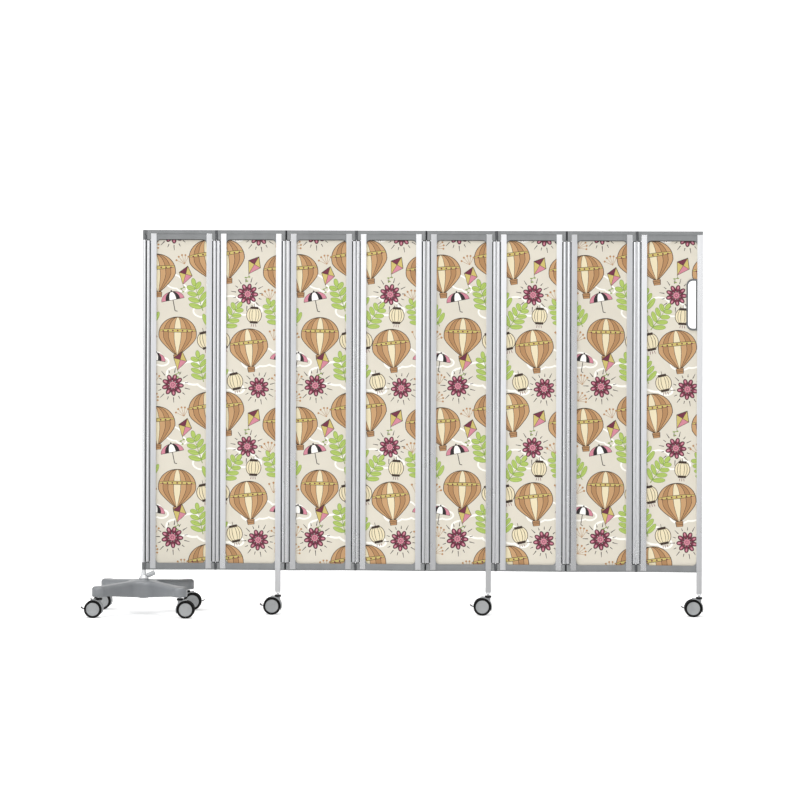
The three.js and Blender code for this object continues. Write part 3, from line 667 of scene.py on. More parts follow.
# %% Cross rails
RAIL = ((0.0412, -0.006, 0.1953), (0.2588, 0.006, 0.2053))
RAIL_LIP = 0.0012

rail_model = block("rail_model", *RAIL)
editing(rail_model)
pick_faces(rail_model, lambda c, n: n.z > 0.9)
bpy.ops.mesh.inset(thickness=RAIL_LIP, depth=0)
extrude(0, 0, -RAIL_LIP)
done()
soften(outward(rail_model), EDGE / 2)
on_panels(rail_model, "cross_rail", satin_aluminium, "satin_aluminium")
print("cross rails", PANELS)

# %% [markdown]
# The caps are grey mouldings that close the top and the bottom of a panel. Each has a flat strip
# with round ends, a block at each hinge, and a band that frames the sheet with rounded inner
# corners. The hinge barrels stand out at the front face or the back face by turns, the lower
# half on one cap and the upper half on its neighbour. One long block is cut out where the stiles
# stand, and bands, lugs and barrels are joined to it, which keeps the true clearances. A fine
# bevel then breaks every edge. The barrels are dark grey, partly as dark plastic and partly as
# painted shade of the hinge gap, and the cap ends beside each hinge take the same dark grey as
# painted shade of that gap. Under each top cap a black strip on either side of the sheet is
# painted shadow, the shadow that the cap casts on the sheet.

# %% Cap sizes
CAP_LEFT = 0.0006
BLOCK_RIGHT = 0.0187
BAND_LEFT = 0.0433
BAND_DEPTH = 0.009
BAND_CORNER = 0.017
CAP_CLEARANCE = 0.0003
BARREL = 0.005
LUG_LENGTH = 0.009
COLLAR = 0.008
COLLAR_BORE = 0.0053
OVERRUN = 0.004
CAP_EDGE = 0.0005
# How far the painted shade of the hinge gap reaches onto a cap's end.
DARK_END = 0.0028
LAST_END = PITCH - STILE_LEFT
LAST_CORNER = 0.002
PASSAGE_START = 0.0087

# Each level pair is a bottom and a top. A room is cut as far as its one level.
TOP_LEVELS = {"strip": (1.635, 1.650), "block": (1.608, 1.650), "band": (1.610, 1.640),
              "collar": (1.608, 1.6297), "window": (1.400, 1.610), "slot": (1.560, 1.6303),
              "room": 1.600}
BOTTOM_LEVELS = {"strip": (0.190, 0.195), "block": (0.190, 0.221), "band": (0.192, 0.219),
                 "collar": (0.190, 0.221), "window": (0.219, 0.400), "slot": (0.2053, 0.270),
                 "room": 0.230}
print("cap levels", TOP_LEVELS["strip"], BOTTOM_LEVELS["strip"])

# %% Helpers for the caps


def plan_block(name, left, right, levels, right_corner=None):
    """A block across the full depth whose upright corners are rounded at both ends."""
    piece = block(name, (left, -DEPTH, levels[0]), (right, DEPTH, levels[1]))
    for end, radius in ((left, COLUMN_RADIUS), (right, right_corner or COLUMN_RADIUS)):
        round_edges(piece, lambda m, d: is_upright(d) and abs(m.x - end) < TOUCH, radius, 8)
    return piece


def barrel(name, at, side, levels, radius=BARREL):
    return rod(name, radius, at, side * PIN_OFFSET, levels[0], levels[1], 40)


def add_hinge(cap, at, inward, side, own, other):
    """One hinge end: clears the neighbour's barrel, then adds this cap's own lug and barrel."""
    cut(cap, barrel("sweep", at, side, other, BARREL + CAP_CLEARANCE))
    near, far = sorted((at + inward * CAP_LEFT, at + inward * LUG_LENGTH))
    face, core = sorted((side * DEPTH, side * (DEPTH - LUG_LENGTH)))
    combine(cap, block("lug", (near, face, own[0]), (far, core, own[1])))
    return combine(cap, barrel("barrel", at, side, own))


def window_band(levels, top):
    """The band between the stiles, with a large radius in each inner corner of the window."""
    low, high = levels["band"]
    reach_low, reach_high = (low - BAND_CORNER, high) if top else (low, high + BAND_CORNER)
    corner = PITCH - BAND_LEFT
    band = block("band", (BAND_LEFT, -BAND_DEPTH, reach_low), (corner, BAND_DEPTH, reach_high))
    bottom, ceiling = levels["window"]
    window = block("window", (BAND_LEFT - TOUCH, -DEPTH, bottom), (corner + TOUCH, DEPTH, ceiling))
    edge = ceiling if top else bottom
    round_edges(window, lambda m, d: abs(d.y) > 0.9 and abs(m.z - edge) < TOUCH, BAND_CORNER, 12)
    return cut(band, window)


print("cap helpers ready")

# %% One cap


def model_cap(index, levels, top):
    """The cap of one panel, in the panel's own axes."""
    last = index == PANELS
    right_end = LAST_END if last else PITCH - CAP_LEFT
    cap = plan_block("cap", CAP_LEFT, right_end, levels["block"], LAST_CORNER if last else None)
    room_right = PITCH if last else PITCH - BLOCK_RIGHT
    room_low, room_high = sorted((levels["strip"][0 if top else 1], levels["room"]))
    room = block("room", (BLOCK_RIGHT, -2 * DEPTH, room_low), (room_right, 2 * DEPTH, room_high))
    cut(cap, room)
    combine(cap, window_band(levels, top))
    slot_bottom, slot_top = levels["slot"]
    slot_low = (STILE_RIGHT - OVERRUN, -GROOVE_HALF, slot_bottom)
    slot_high = (PITCH - STILE_RIGHT + OVERRUN, GROOVE_HALF, slot_top)
    cut(cap, block("slot", slot_low, slot_high))
    if not top:
        low, high = RAIL
        channel_low = (STILE_RIGHT, low[1] - CAP_CLEARANCE, low[2] - CAP_CLEARANCE)
        channel_high = (PITCH - STILE_RIGHT, high[1] + CAP_CLEARANCE, high[2] + CAP_CLEARANCE)
        cut(cap, block("channel", channel_low, channel_high))
        if index in LEGGED:
            open_leg_passage(cap)
    low, high = levels["block"]
    middle = (low + high) / 2
    gap = CAP_CLEARANCE / 2
    lower, upper = (low, middle - gap), (middle + gap, high)
    under, over = (low - OVERRUN, middle + gap), (middle - gap, high + OVERRUN)
    if index == 1:
        reach_low = (-POST_OFFSET, -COLUMN_RADIUS, levels["collar"][0])
        reach_high = (COLUMN_MIDDLE, COLUMN_RADIUS, levels["collar"][1])
        combine(cap, block("reach", reach_low, reach_high))
        combine(cap, rod("collar", COLLAR, -POST_OFFSET, 0, *levels["collar"]))
        cut(cap, rod("bore", COLLAR_BORE, -POST_OFFSET, 0, low - OVERRUN, high + OVERRUN))
    else:
        add_hinge(cap, 0, 1, hinge_side(index - 1), upper, under)
    if not last:
        add_hinge(cap, PITCH, -1, hinge_side(index), lower, over)
    return dark_hinges(soften(outward(cap), CAP_EDGE), index)


def dark_hinges(cap, index):
    """Paints the barrels and the ends that face the neighbour dark grey: painted shade of the hinge
    gap, and on the barrels also their darker plastic.
    """
    hinges = [(0, hinge_side(index - 1)), (PITCH, hinge_side(index))]
    if index == PANELS:
        hinges.pop()
    if index == 1:
        hinges[0] = (0, 0)
    for material in (cap_plastic, barrel_and_gap_shade, barrel_plastic):
        cap.data.materials.append(material)
    for face in cap.data.polygons:
        x, y, _ = face.center
        for at, side in hinges:
            on_barrel = math.hypot(x - at, y - side * PIN_OFFSET) < BARREL
            if abs(x - at) < DARK_END or on_barrel:
                face.material_index = 1
        if x < -DARK_END and index == 1:
            face.material_index = 2
    return cap


def open_leg_passage(cap):
    """Room in the bottom strip for the tongues of a leg, so its face runs into the stile's."""
    left = PITCH - STILE_RIGHT - CAP_CLEARANCE
    right = PITCH - STILE_LEFT + CAP_CLEARANCE
    low, high = BOTTOM_LEVELS["strip"]
    for near, far in ((-2 * DEPTH, -PASSAGE_START), (PASSAGE_START, 2 * DEPTH)):
        cut(cap, block("passage", (left, near, low - OVERRUN), (right, far, high + OVERRUN)))


# %% Caps on every panel


def cap_kind(index, top):
    """Caps with the same hinge sides and the same leg passage are one shape."""
    if index in (1, PANELS):
        return index, top
    return hinge_side(index), top, index in LEGGED and not top


cap_models = {}
for index, place in places.items():
    for top, levels in ((True, TOP_LEVELS), (False, BOTTOM_LEVELS)):
        kind = cap_kind(index, top)
        if kind not in cap_models:
            cap_models[kind] = model_cap(index, levels, top)
        word = "top" if top else "bottom"
        cap = copied(cap_models[kind], f"{word}_cap_{index}", place)
        mount(cap, f"panel_{index}", None, "cap_plastic", f"panel_{index}_{word}_cap")
print("cap shapes", len(cap_models), "faces of one", len(cap.data.polygons))
discard(*cap_models.values())

# %% Painted shadow strips under the top caps
SHADOW_STRIP_HEIGHT = 0.0027
SHADOW_STRIP_HALF = 0.0065
SHEET_ROOM = 0.0021
ROOM_REACH = 0.1
window_top = TOP_LEVELS["window"][1]
shadow_strip_levels = {"band": (window_top - SHADOW_STRIP_HEIGHT, window_top + CAP_CLEARANCE),
               "window": (TOP_LEVELS["window"][0], window_top - SHADOW_STRIP_HEIGHT)}
# A thin black strip on either side of the sheet, just below each top cap: painted shadow of the cap's
# overhang on the sheet.
shadow_strip_model = window_band(shadow_strip_levels, True)
turned_to(shadow_strip_model, Matrix.Diagonal((1, SHADOW_STRIP_HALF / BAND_DEPTH, 1, 1)))
room_low = (0, -SHEET_ROOM, window_top - ROOM_REACH)
room_high = (PITCH, SHEET_ROOM, window_top + ROOM_REACH)
sheet_room = block("sheet_room", room_low, room_high)
soften(outward(cut(shadow_strip_model, sheet_room)), EDGE / 2)
on_panels(shadow_strip_model, "sheet_shadow_strips", painted_shade_black, "lever_black")
print("sheet seals", PANELS)

# %% [markdown]
# The print is a children's pattern in warm caramel, lime and dark red on cream. Its motifs are
# balloons, leaf sprigs, sun flowers, parasols, kites and lanterns over clouds in pale line. A
# motif is a stack of plain outlines, and later outlines lie on top, as inks do. All outlines of a
# sheet are then cut into its face at once, and each patch takes the topmost outline's colour.

# %% Inks and outlines
INKS = {
    "cream": (203, 197, 183), "cloud": (232, 229, 222), "caramel": (182, 142, 98),
    "toffee": (163, 121, 78), "vanilla": (215, 203, 170), "brown": (52, 34, 20),
    "lime": (160, 182, 88), "leaf": (118, 142, 60), "wine": (104, 28, 54),
    "pink": (192, 120, 136), "night": (36, 26, 28), "straw": (188, 170, 96),
    "white": (238, 236, 230),
}
OUTLINE = 2.6


def ellipse(x, y, rx, ry, turn=0.0, steps=28):
    points = []
    for step in range(steps):
        angle = 2 * math.pi * step / steps
        px, py = rx * math.cos(angle), ry * math.sin(angle)
        cos, sin = math.cos(turn), math.sin(turn)
        points.append((x + px * cos - py * sin, y + px * sin + py * cos))
    return points


def stroke(x0, y0, x1, y1, width, tip=None):
    """A straight pen stroke, which may taper to its tip."""
    length = math.hypot(x1 - x0, y1 - y0)
    nx, ny = -(y1 - y0) / length / 2, (x1 - x0) / length / 2
    end = width if tip is None else tip
    return [(x0 + nx * width, y0 + ny * width), (x0 - nx * width, y0 - ny * width),
            (x1 - nx * end, y1 - ny * end), (x1 + nx * end, y1 + ny * end)]


def ringed(ink_name, x, y, rx, ry, turn=0.0, line=OUTLINE, pen="brown"):
    """A filled oval with a drawn outline."""
    return [(pen, ellipse(x, y, rx + line, ry + line, turn)), (ink_name, ellipse(x, y, rx, ry, turn))]


print("inks", len(INKS))

# %% Motifs, in millimetres about their own middle


def envelope(width, height, line):
    """The bag of a balloon: round above, drawn in to its mouth below."""
    points = []
    for step in range(40):
        angle = 2 * math.pi * step / 40
        x, y = math.sin(angle), -math.cos(angle)
        pinch = 1.0 if y > -0.15 else 1.0 - 0.62 * ((-y - 0.15) / 0.85) ** 1.4
        drop = 1.0 if y > 0 else 1.22
        points.append(((width * pinch + line) * x, (height * drop + line) * y))
    return points


def balloon():
    shapes = [("brown", stroke(side * 26, -70, side * 13, -104, 2.6)) for side in (-1, 1)]
    shapes += [("brown", envelope(92, 84, 3.2)), ("caramel", envelope(92, 84, 0))]
    for width, ink_name in ((70, "toffee"), (45, "caramel"), (17, "vanilla")):
        shapes += [("brown", envelope(width, 84, 1.6)), (ink_name, envelope(width, 84, -0.6))]
    shapes += [("brown", ellipse(0, 18, 94, 9.5)), ("straw", ellipse(0, 18, 91, 7))]
    shapes += [("wine", ellipse(x, 18 - 0.0006 * x * x, 4.2, 4.2)) for x in range(-72, 73, 24)]
    basket = [(-17, -102), (17, -102), (14, -127), (-14, -127)]
    shapes += [("brown", [(x * 1.18, y * 1.02 + 1.4) for x, y in basket]), ("toffee", basket)]
    shapes += [("brown", stroke(-15, y, 15, y, 1.8)) for y in (-109, -117)]
    return shapes


def sun_flower():
    shapes = []
    for step in range(15):
        angle = 2 * math.pi * step / 15 + 0.1
        reach = 66 if step % 2 else 58
        cos, sin = math.cos(angle), math.sin(angle)
        shapes.append(("night", stroke(46 * cos, 46 * sin, reach * cos, reach * sin, 3.4, 1.6)))
    for step in range(9):
        angle = 2 * math.pi * step / 9
        x, y = 27 * math.cos(angle), 27 * math.sin(angle)
        shapes += ringed("wine", x, y, 12.5, 7.4, angle, 1.6, "night")
        shapes.append(("pink", ellipse(x * 1.12, y * 1.12, 6.2, 3.2, angle, 16)))
    shapes += ringed("pink", 0, 0, 12, 12, 0, 2.2, "wine")
    shapes += [("wine", ellipse(5 * math.cos(a), 5 * math.sin(a), 1.9, 1.9, 0, 10)) for a in range(6)]
    return shapes


def sprig():
    shapes = [("leaf", stroke(0, -62, 4, 50, 3.6, 1.6))]
    for step in range(4):
        y = -44 + step * 25
        size = 27 - 3 * step
        for side in (-1, 1):
            x = side * (size * 0.86) + 1
            turn = side * 0.62
            shapes.append(("leaf", ellipse(x, y + 11, size, 10.5, turn, 20)))
            shapes.append(("lime", ellipse(x, y + 11, size - 2.2, 8.4, turn, 20)))
            shapes.append(("leaf", stroke(2, y, x * 1.7, y + 9 + size * 0.52, 1.6, 0.8)))
    shapes += [("leaf", ellipse(4, 60, 9.5, 17, -0.1)), ("lime", ellipse(4, 60, 7.4, 14.6, -0.1))]
    return shapes


def parasol():
    shapes = [("night", stroke(0, 20, 0, -42, 3.0)), ("night", stroke(0, -42, 9, -46, 3.0))]
    for width, ink_name in ((44, "pink"), (27, "night"), (13, "white")):
        for grow, pen in ((1.8, "night"), (0, ink_name)):
            arc = [((width + grow) * math.cos(math.pi * t / 16), 2 - grow + (31 + 2 * grow)
                    * math.sin(math.pi * t / 16)) for t in range(17)]
            shapes.append((pen, arc))
    shapes.append(("night", ellipse(0, 36, 3.4, 4.4, 0, 12)))
    return shapes


def kite():
    corners = [(0, 42), (27, 8), (0, -36), (-27, 8)]
    shapes = [("brown", [(x * 1.1, y * 1.08) for x, y in corners])]
    colours = ("straw", "pink", "straw", "wine")
    for step, ink_name in enumerate(colours):
        shapes.append((ink_name, [corners[step], corners[(step + 1) % 4], (0, 8)]))
    shapes += [("brown", stroke(0, 42, 0, -36, 1.5)), ("brown", stroke(-27, 8, 27, 8, 1.5))]
    tail = [(0, -38), (8, -47), (-2, -56), (9, -66)]
    shapes += [("brown", stroke(*a, *b, 1.6)) for a, b in zip(tail, tail[1:])]
    shapes += [("leaf", ellipse(x, y, 5.5, 2.8, 0.5, 12)) for x, y in tail[1:]]
    return shapes


def lantern():
    shapes = [("brown", stroke(0, 34, 0, 50, 2.0))] + ringed("vanilla", 0, 0, 31, 34)
    for width in (22, 10):
        shapes += [("brown", ellipse(0, 0, width, 34)), ("vanilla", ellipse(0, 0, width - 2, 34))]
    for y in (-31, 31):
        shapes.append(("brown", [(-17, y - 5), (17, y - 5), (17, y + 5), (-17, y + 5)]))
    shapes += [("wine", stroke(x, -38, x * 1.3, -50, 2.2)) for x in (-8, 0, 8)]
    return shapes


def buds():
    shapes = []
    for angle in (0.35, 0.8, 1.25, 1.75, 2.3):
        x, y = 33 * math.cos(angle), 33 * math.sin(angle) - 14
        shapes.append(("toffee", stroke(0, -22, x, y, 1.6)))
        shapes.append(("toffee", ellipse(x, y, 4.4, 4.4, 0, 12)))
    return shapes


def cloud():
    puffs = ((-62, -6, 44, 30), (-18, 14, 52, 42), (40, 4, 50, 34), (84, -10, 30, 20))
    shapes = [("cloud", ellipse(*puff)) for puff in puffs]
    return shapes + [("cream", ellipse(x, y, rx - 7, ry - 7)) for x, y, rx, ry in puffs]


print("balloon outlines", len(balloon()), "flower outlines", len(sun_flower()))

# %% [markdown]
# The motifs are scattered over a tile that repeats along the screen, as on printed film from a
# roll. Darts are thrown at the tile, and a dart that lands too near another motif is thrown
# again, so the spacing is even but never regular. The throws are seeded, so the print stays.

# %% Layout of one repeat
REPEAT_WIDTH = 470.0
REPEAT_HEIGHT = 655.0
LAYOUT_SEED = 41
THROWS = 6000
MOTIFS = (  # drawing, how many in a repeat, room it needs, largest turn, scale range
    (balloon, 4, 104, 0.16, (0.84, 0.9)),
    (sun_flower, 3, 74, 3.1, (1.05, 1.18)),
    (sprig, 4, 66, 0.7, (0.95, 1.08)),
    (parasol, 2, 50, 0.6, (1.0, 1.12)),
    (kite, 3, 48, 0.6, (1.0, 1.1)),
    (lantern, 3, 46, 0.25, (1.0, 1.1)),
    (buds, 5, 32, 1.2, (0.95, 1.15)),
)
CLOUD_MOTIF = (cloud, 4, 150, 0.4, (0.9, 1.3))
CROWDING_SHARE = 0.32


def apart(x, y, other_x, other_y):
    """Distance in a tile that repeats both ways."""
    dx = abs(x - other_x) % REPEAT_WIDTH
    dy = abs(y - other_y) % REPEAT_HEIGHT
    return math.hypot(min(dx, REPEAT_WIDTH - dx), min(dy, REPEAT_HEIGHT - dy))


dice = random.Random(LAYOUT_SEED)


def scatter(taken, drawing, count, room, turn, sizes):
    """Throws darts for one motif and returns those that found room."""
    found = []
    for throw in range(THROWS):
        if len(found) == count:
            break
        x, y = dice.uniform(0, REPEAT_WIDTH), dice.uniform(0, REPEAT_HEIGHT)
        closeness = 1.0 - CROWDING_SHARE * throw / THROWS
        if all(apart(x, y, ox, oy) > (room + other) * closeness for ox, oy, other in taken):
            taken.append((x, y, room))
            found.append((drawing, x, y, dice.uniform(-turn, turn), dice.uniform(*sizes), room))
    return found


layout = scatter([], *CLOUD_MOTIF)
taken_places = []
for motif in MOTIFS:
    layout += scatter(taken_places, *motif)
print("motifs in one repeat", len(layout))

# %% [markdown]
# An infill sheet is 4 mm thick and stands in the stiles' grooves. Its face is cut along every
# outline with a constrained Delaunay triangulation, which turns overlapping outlines into
# patches that meet without gaps. The same patches are laid on the back, and a wall closes the
# edge, so the sheet is one closed solid that is printed on both faces.

# %% Sheet sizes and the hole for the hand
SHEET = (37.3, 262.7, 205.6, 1630.0)
SHEET_THICKNESS = 0.004
HANDLE = {"left": 210.7, "right": 256.7, "bottom": 1226.0, "top": 1447.0}
HANDLE_CORNER = 28.0
SLEEVE_INSET = 2.7
SMALL_CORNER = 2.0
MM = 0.001


def handle_outline(inset, steps=10):
    """The rounded outline of the hand hole, in millimetres of the panel's face."""
    left, right = HANDLE["left"] + inset, HANDLE["right"] - inset
    bottom, top = HANDLE["bottom"] + inset, HANDLE["top"] - inset
    big, small = HANDLE_CORNER - inset, SMALL_CORNER
    corners = ((right - small, bottom + small, small, -90), (right - small, top - small, small, 0),
               (left + big, top - big, big, 90), (left + big, bottom + big, big, 180))
    points = []
    for x, y, radius, start in corners:
        for step in range(steps + 1):
            angle = math.radians(start + 90 * step / steps)
            points.append((x + radius * math.cos(angle), y + radius * math.sin(angle)))
    return points


print("hole outline points", len(handle_outline(SLEEVE_INSET)))

# %% Cutting the print into a sheet
SHEET_GAP = 4.0
ROLL_STEP = SHEET[1] - SHEET[0] + SHEET_GAP
CUT_PRECISION = 0.0005
SMALLEST_REACH = 75
REACH_FACTOR = 1.25
REPEATS_UP = 4
REPEATS_ALONG = range(-1, 6)


def anticlockwise(points):
    """The cutter takes the inside of an outline to be on the left of its path."""
    pairs = zip(points, points[1:] + points[:1])
    area = sum(ax * by - bx * ay for (ax, ay), (bx, by) in pairs)
    return points if area > 0 else points[::-1]


def outlines_on(index):
    """Every outline that reaches this panel's sheet, back to front, in the panel's millimetres."""
    left, right, bottom, top = SHEET
    start = (index - 1) * ROLL_STEP
    shapes = []
    for drawing, x, y, turn, size, room in layout:
        reach = max(room, SMALLEST_REACH) * size * REACH_FACTOR
        cos, sin = math.cos(turn) * size, math.sin(turn) * size
        outlines = drawing()
        for row in range(REPEATS_UP):
            for along in REPEATS_ALONG:
                cx = x + along * REPEAT_WIDTH - start + left
                cy = y + row * REPEAT_HEIGHT + bottom
                if left - reach < cx < right + reach and bottom - reach < cy < top + reach:
                    shapes += [(name, [(cx + px * cos - py * sin, cy + px * sin + py * cos)
                                       for px, py in points]) for name, points in outlines]
    return shapes


def patches(index):
    """The sheet's face as points, triangles and an ink for each triangle."""
    left, right, bottom, top = SHEET
    border = [(left, bottom), (right, bottom), (right, top), (left, top)]
    shapes = [("cream", border)] + outlines_on(index)
    if index == PANELS:
        shapes.append(("hole", handle_outline(SLEEVE_INSET)))
    points, rings = [], []
    for _, outline in shapes:
        rings.append(list(range(len(points), len(points) + len(outline))))
        points += [Vector(point) for point in anticlockwise(outline)]
    spots, _, triangles, _, _, owners = delaunay_2d_cdt(points, [], rings, 1, CUT_PRECISION)
    kept, inks = [], []
    for triangle, owner in zip(triangles, owners):
        name = shapes[max(owner)][0] if owner else "hole"
        if 0 in owner and name != "hole":
            kept.append(triangle)
            inks.append(name)
    used = sorted({corner for triangle in kept for corner in triangle})
    renumbered = {old: new for new, old in enumerate(used)}
    kept = [tuple(renumbered[corner] for corner in triangle) for triangle in kept]
    return [spots[old] for old in used], kept, inks


print("roll step", ROLL_STEP)

# %% Building the sheets


def build_sheet(index, place):
    spots, triangles, inks = patches(index)
    half = SHEET_THICKNESS / 2
    count = len(spots)
    points = [(p.x * MM, -half, p.y * MM) for p in spots] + [(p.x * MM, half, p.y * MM) for p in spots]
    front = [tuple(triangle) for triangle in triangles]
    back = [tuple(corner + count for corner in reversed(triangle)) for triangle in triangles]
    seen = {}
    for triangle in front:
        for start, end in zip(triangle, triangle[1:] + triangle[:1]):
            seen[(start, end)] = True
    rim = [(s, e) for s, e in seen if (e, s) not in seen]
    wall = [(e, s, s + count, e + count) for s, e in rim]
    mesh = bpy.data.meshes.new(f"infill_{index}")
    mesh.from_pydata(points, [], front + back + wall)
    paint = mesh.color_attributes.new(name="ink", type="FLOAT_COLOR", domain="CORNER")
    names = inks + inks + ["cream"] * len(wall)
    shades = {name: (*linear(*INKS[name]), 1.0) for name in INKS}
    for face, name in zip(mesh.polygons, names):
        for corner in face.loop_indices:
            paint.data[corner].color = shades[name]
    sheet = bpy.data.objects.new(f"infill_{index}", mesh)
    bpy.context.scene.collection.objects.link(sheet)
    outward(sheet)
    turned_to(sheet, place)
    return sheet


for index, place in places.items():
    body = f"panel_{index}"
    sheet = build_sheet(index, place)
    mount(sheet, body, printed_sheet, "infill_sheet", f"{body}_infill")
    print(sheet.name, "patches", len(sheet.data.polygons))

# %% [markdown]
# The hand hole in the last panel has a plastic bezel with a flange on each face of the sheet.
# A block with rounded corners is cut by a smaller one of the same kind, and a groove is cut all
# round for the sheet's edge.

# %% Handle bezel
BEZEL_HALF = 0.0065
OPENING = {"left": 218.2, "right": 251.2, "bottom": 1234.5, "top": 1438.5}
OPENING_CORNER = 20.5
BEZEL_EDGE = 0.0016
BEZEL_GROOVE = 3.0
GROOVE_OVERRUN = 4.0


def hand_block(name, outline, corner, half):
    """A block across the sheet, round on the left, nearly square along the stile."""
    low = (outline["left"] * MM, -half, outline["bottom"] * MM)
    high = (outline["right"] * MM, half, outline["top"] * MM)
    piece = block(name, low, high)
    for x, radius in ((low[0], corner * MM), (high[0], SMALL_CORNER * MM)):
        round_edges(piece, lambda m, d: abs(d.y) > 0.9 and abs(m.x - x) < TOUCH, radius, 12)
    return piece


def shrunk(outline, inset):
    return {"left": outline["left"] + inset, "right": outline["right"] - inset,
            "bottom": outline["bottom"] + inset, "top": outline["top"] - inset}


bezel = hand_block("handle_bezel_ring", HANDLE, HANDLE_CORNER, BEZEL_HALF)
cut(bezel, hand_block("opening", OPENING, OPENING_CORNER, BEZEL_HALF + OVERRUN))
soften(outward(bezel), BEZEL_EDGE, 4)
ring = hand_block("groove", shrunk(HANDLE, -GROOVE_OVERRUN), HANDLE_CORNER, GROOVE_HALF)
core_corner = HANDLE_CORNER - BEZEL_GROOVE
core = hand_block("core", shrunk(HANDLE, BEZEL_GROOVE), core_corner, GROOVE_HALF + OVERRUN)
cut(bezel, cut(ring, core))
polish(outward(bezel))
turned_to(bezel, places[PANELS])
mount(bezel, f"panel_{PANELS}", bezel_plastic, "bezel_plastic", "handle_bezel")
print("bezel faces", len(bezel.data.polygons))

# %% [markdown]
# Three panels carry a leg under their right stile: a tube of the stile's own section, with
# tongues that run up over the bottom cap, and a round insert that takes the caster's stem.

# %% Legs
LEG_BOTTOM = 0.099
LEG_TOP = 0.1897
TONGUE_TOP = 0.195
TONGUE = 0.002
LEG_CORNER = 0.002
LEG_EDGE = 0.0004
INSERT_RADIUS = 0.009
INSERT_BOTTOM = 0.091
INSERT_RIM = 0.001
INSERT_SEAT = 0.004
leg_left, leg_right = PITCH - STILE_RIGHT, PITCH - STILE_LEFT
leg_middle = (leg_left + leg_right) / 2

leg_model = block("leg_model", (leg_left, -DEPTH, LEG_BOTTOM), (leg_right, DEPTH, LEG_TOP))
slice_across(leg_model, (-DEPTH + TONGUE, DEPTH - TONGUE))
pick_faces(leg_model, lambda c, n: n.z > 0.9 and abs(c.y) > DEPTH - TONGUE)
extrude(0, 0, TONGUE_TOP - LEG_TOP)
done()
outward(leg_model)
round_edges(leg_model, lambda m, d: is_upright(d) and abs(abs(m.y) - DEPTH) < TOUCH, LEG_CORNER, 4)
soften(leg_model, LEG_EDGE, 2, 50)
insert_rings = [(INSERT_RADIUS - INSERT_RIM, INSERT_BOTTOM),
                (INSERT_RADIUS, INSERT_BOTTOM + INSERT_RIM), (INSERT_RADIUS, LEG_BOTTOM + INSERT_SEAT)]
insert_model = polish(stacked("insert_model", insert_rings))
insert_place = Matrix.Translation((leg_middle, 0, 0))
for index in LEGGED:
    leg = copied(leg_model, f"leg_tube_{index}", places[index])
    mount(leg, f"panel_{index}", satin_aluminium, "satin_aluminium", f"leg_{index}")
    insert = copied(insert_model, f"leg_insert_{index}", places[index] @ insert_place)
    mount(insert, f"panel_{index}", insert_plastic, "satin_aluminium")
discard(leg_model, insert_model)
print("legs", len(LEGGED))

# %% [markdown]
# A twin-wheel caster: two rubber tyres on hubs with cover discs, an axle, a hood over the wheels
# with a neck and a cheek between them, a black collar, a steel stem and a brake lever. It is
# modelled once, with its swivel axis at the origin and the wheels trailing towards minus X.

# %% Caster wheels
WHEEL_RADIUS = 0.0375
WHEEL_WIDTH = 0.017
WHEEL_MIDDLE = 0.0145
TRAIL = 0.025
TYRE_THICKNESS = 0.0102
TYRE_SHOULDER = 0.0028
TYRE_LAP = 0.0004
HUB_RADIUS = WHEEL_RADIUS - TYRE_THICKNESS + TYRE_LAP
HUB_INSET = 0.0008
HUB_PROFILE = ((HUB_RADIUS, 0), (HUB_RADIUS - 0.0035, 0), (HUB_RADIUS - 0.0048, -0.0012),
               (0.0095, -0.0004), (0.0082, 0.0006), (0.0001, 0.0008))
AXLE_RADIUS = 0.005
WHEEL_SIDES = 96
to_axle = Matrix.Translation((-TRAIL, 0, WHEEL_RADIUS)) @ Matrix.Rotation(math.pi / 2, 4, "X")

half_width = WHEEL_WIDTH / 2
tyre_size = (WHEEL_RADIUS, TYRE_THICKNESS, 0, 0, -half_width, half_width, WHEEL_SIDES)
tyre_model = soften(tube("tyre_model", *tyre_size), TYRE_SHOULDER, 5, 50, 40)

hub_face = half_width - HUB_INSET
hub_rings = [(HUB_RADIUS, -hub_face)]
hub_rings += [(radius, hub_face + rise) for radius, rise in HUB_PROFILE]
hub_model = polish(stacked("hub_model", hub_rings, 64), 25)
print("tyre faces", len(tyre_model.data.polygons), "hub faces", len(hub_model.data.polygons))

# %% Caster hood and cheek
HOOD_OUTER = 0.0419
HOOD_WALL = 0.0026
HOOD_WIDTH = 0.046
HOOD_START = math.radians(-24)
HOOD_END = math.radians(96)
HOOD_STEPS = 30
CHEEK = 0.010
CHEEK_RADIUS = 0.022
NECK = 0.010
NECK_SHARE = 0.45
SINK = 0.0003
COLLAR_RADIUS = 0.014
COLLAR_LEVELS = (0.076, 0.085)
STEM_RADIUS = 0.0055
axle_point = (-TRAIL, 0, WHEEL_RADIUS)


def swept(name, inner, outer, width):
    """A band or sector round the axle: a straight cut face spun through the hood's angle."""
    start = Matrix.Translation(axle_point) @ Matrix.Rotation(-HOOD_START, 4, "Y")
    piece = fresh(name, bpy.ops.mesh.primitive_plane_add, size=1)
    piece.scale = (outer - inner, width, 1)
    settle(piece)
    turned_to(piece, start @ Matrix.Translation(((outer + inner) / 2, 0, 0)))
    editing(piece)
    bpy.ops.mesh.select_all(action="SELECT")
    bpy.ops.mesh.spin(steps=HOOD_STEPS, angle=HOOD_END - HOOD_START, center=axle_point, axis=(0, 1, 0))
    done()
    return outward(piece)


hood_model = swept("hood_model", HOOD_OUTER - HOOD_WALL, HOOD_OUTER, HOOD_WIDTH)
print("hood box", [round(v, 4) for v in hood_model.dimensions])

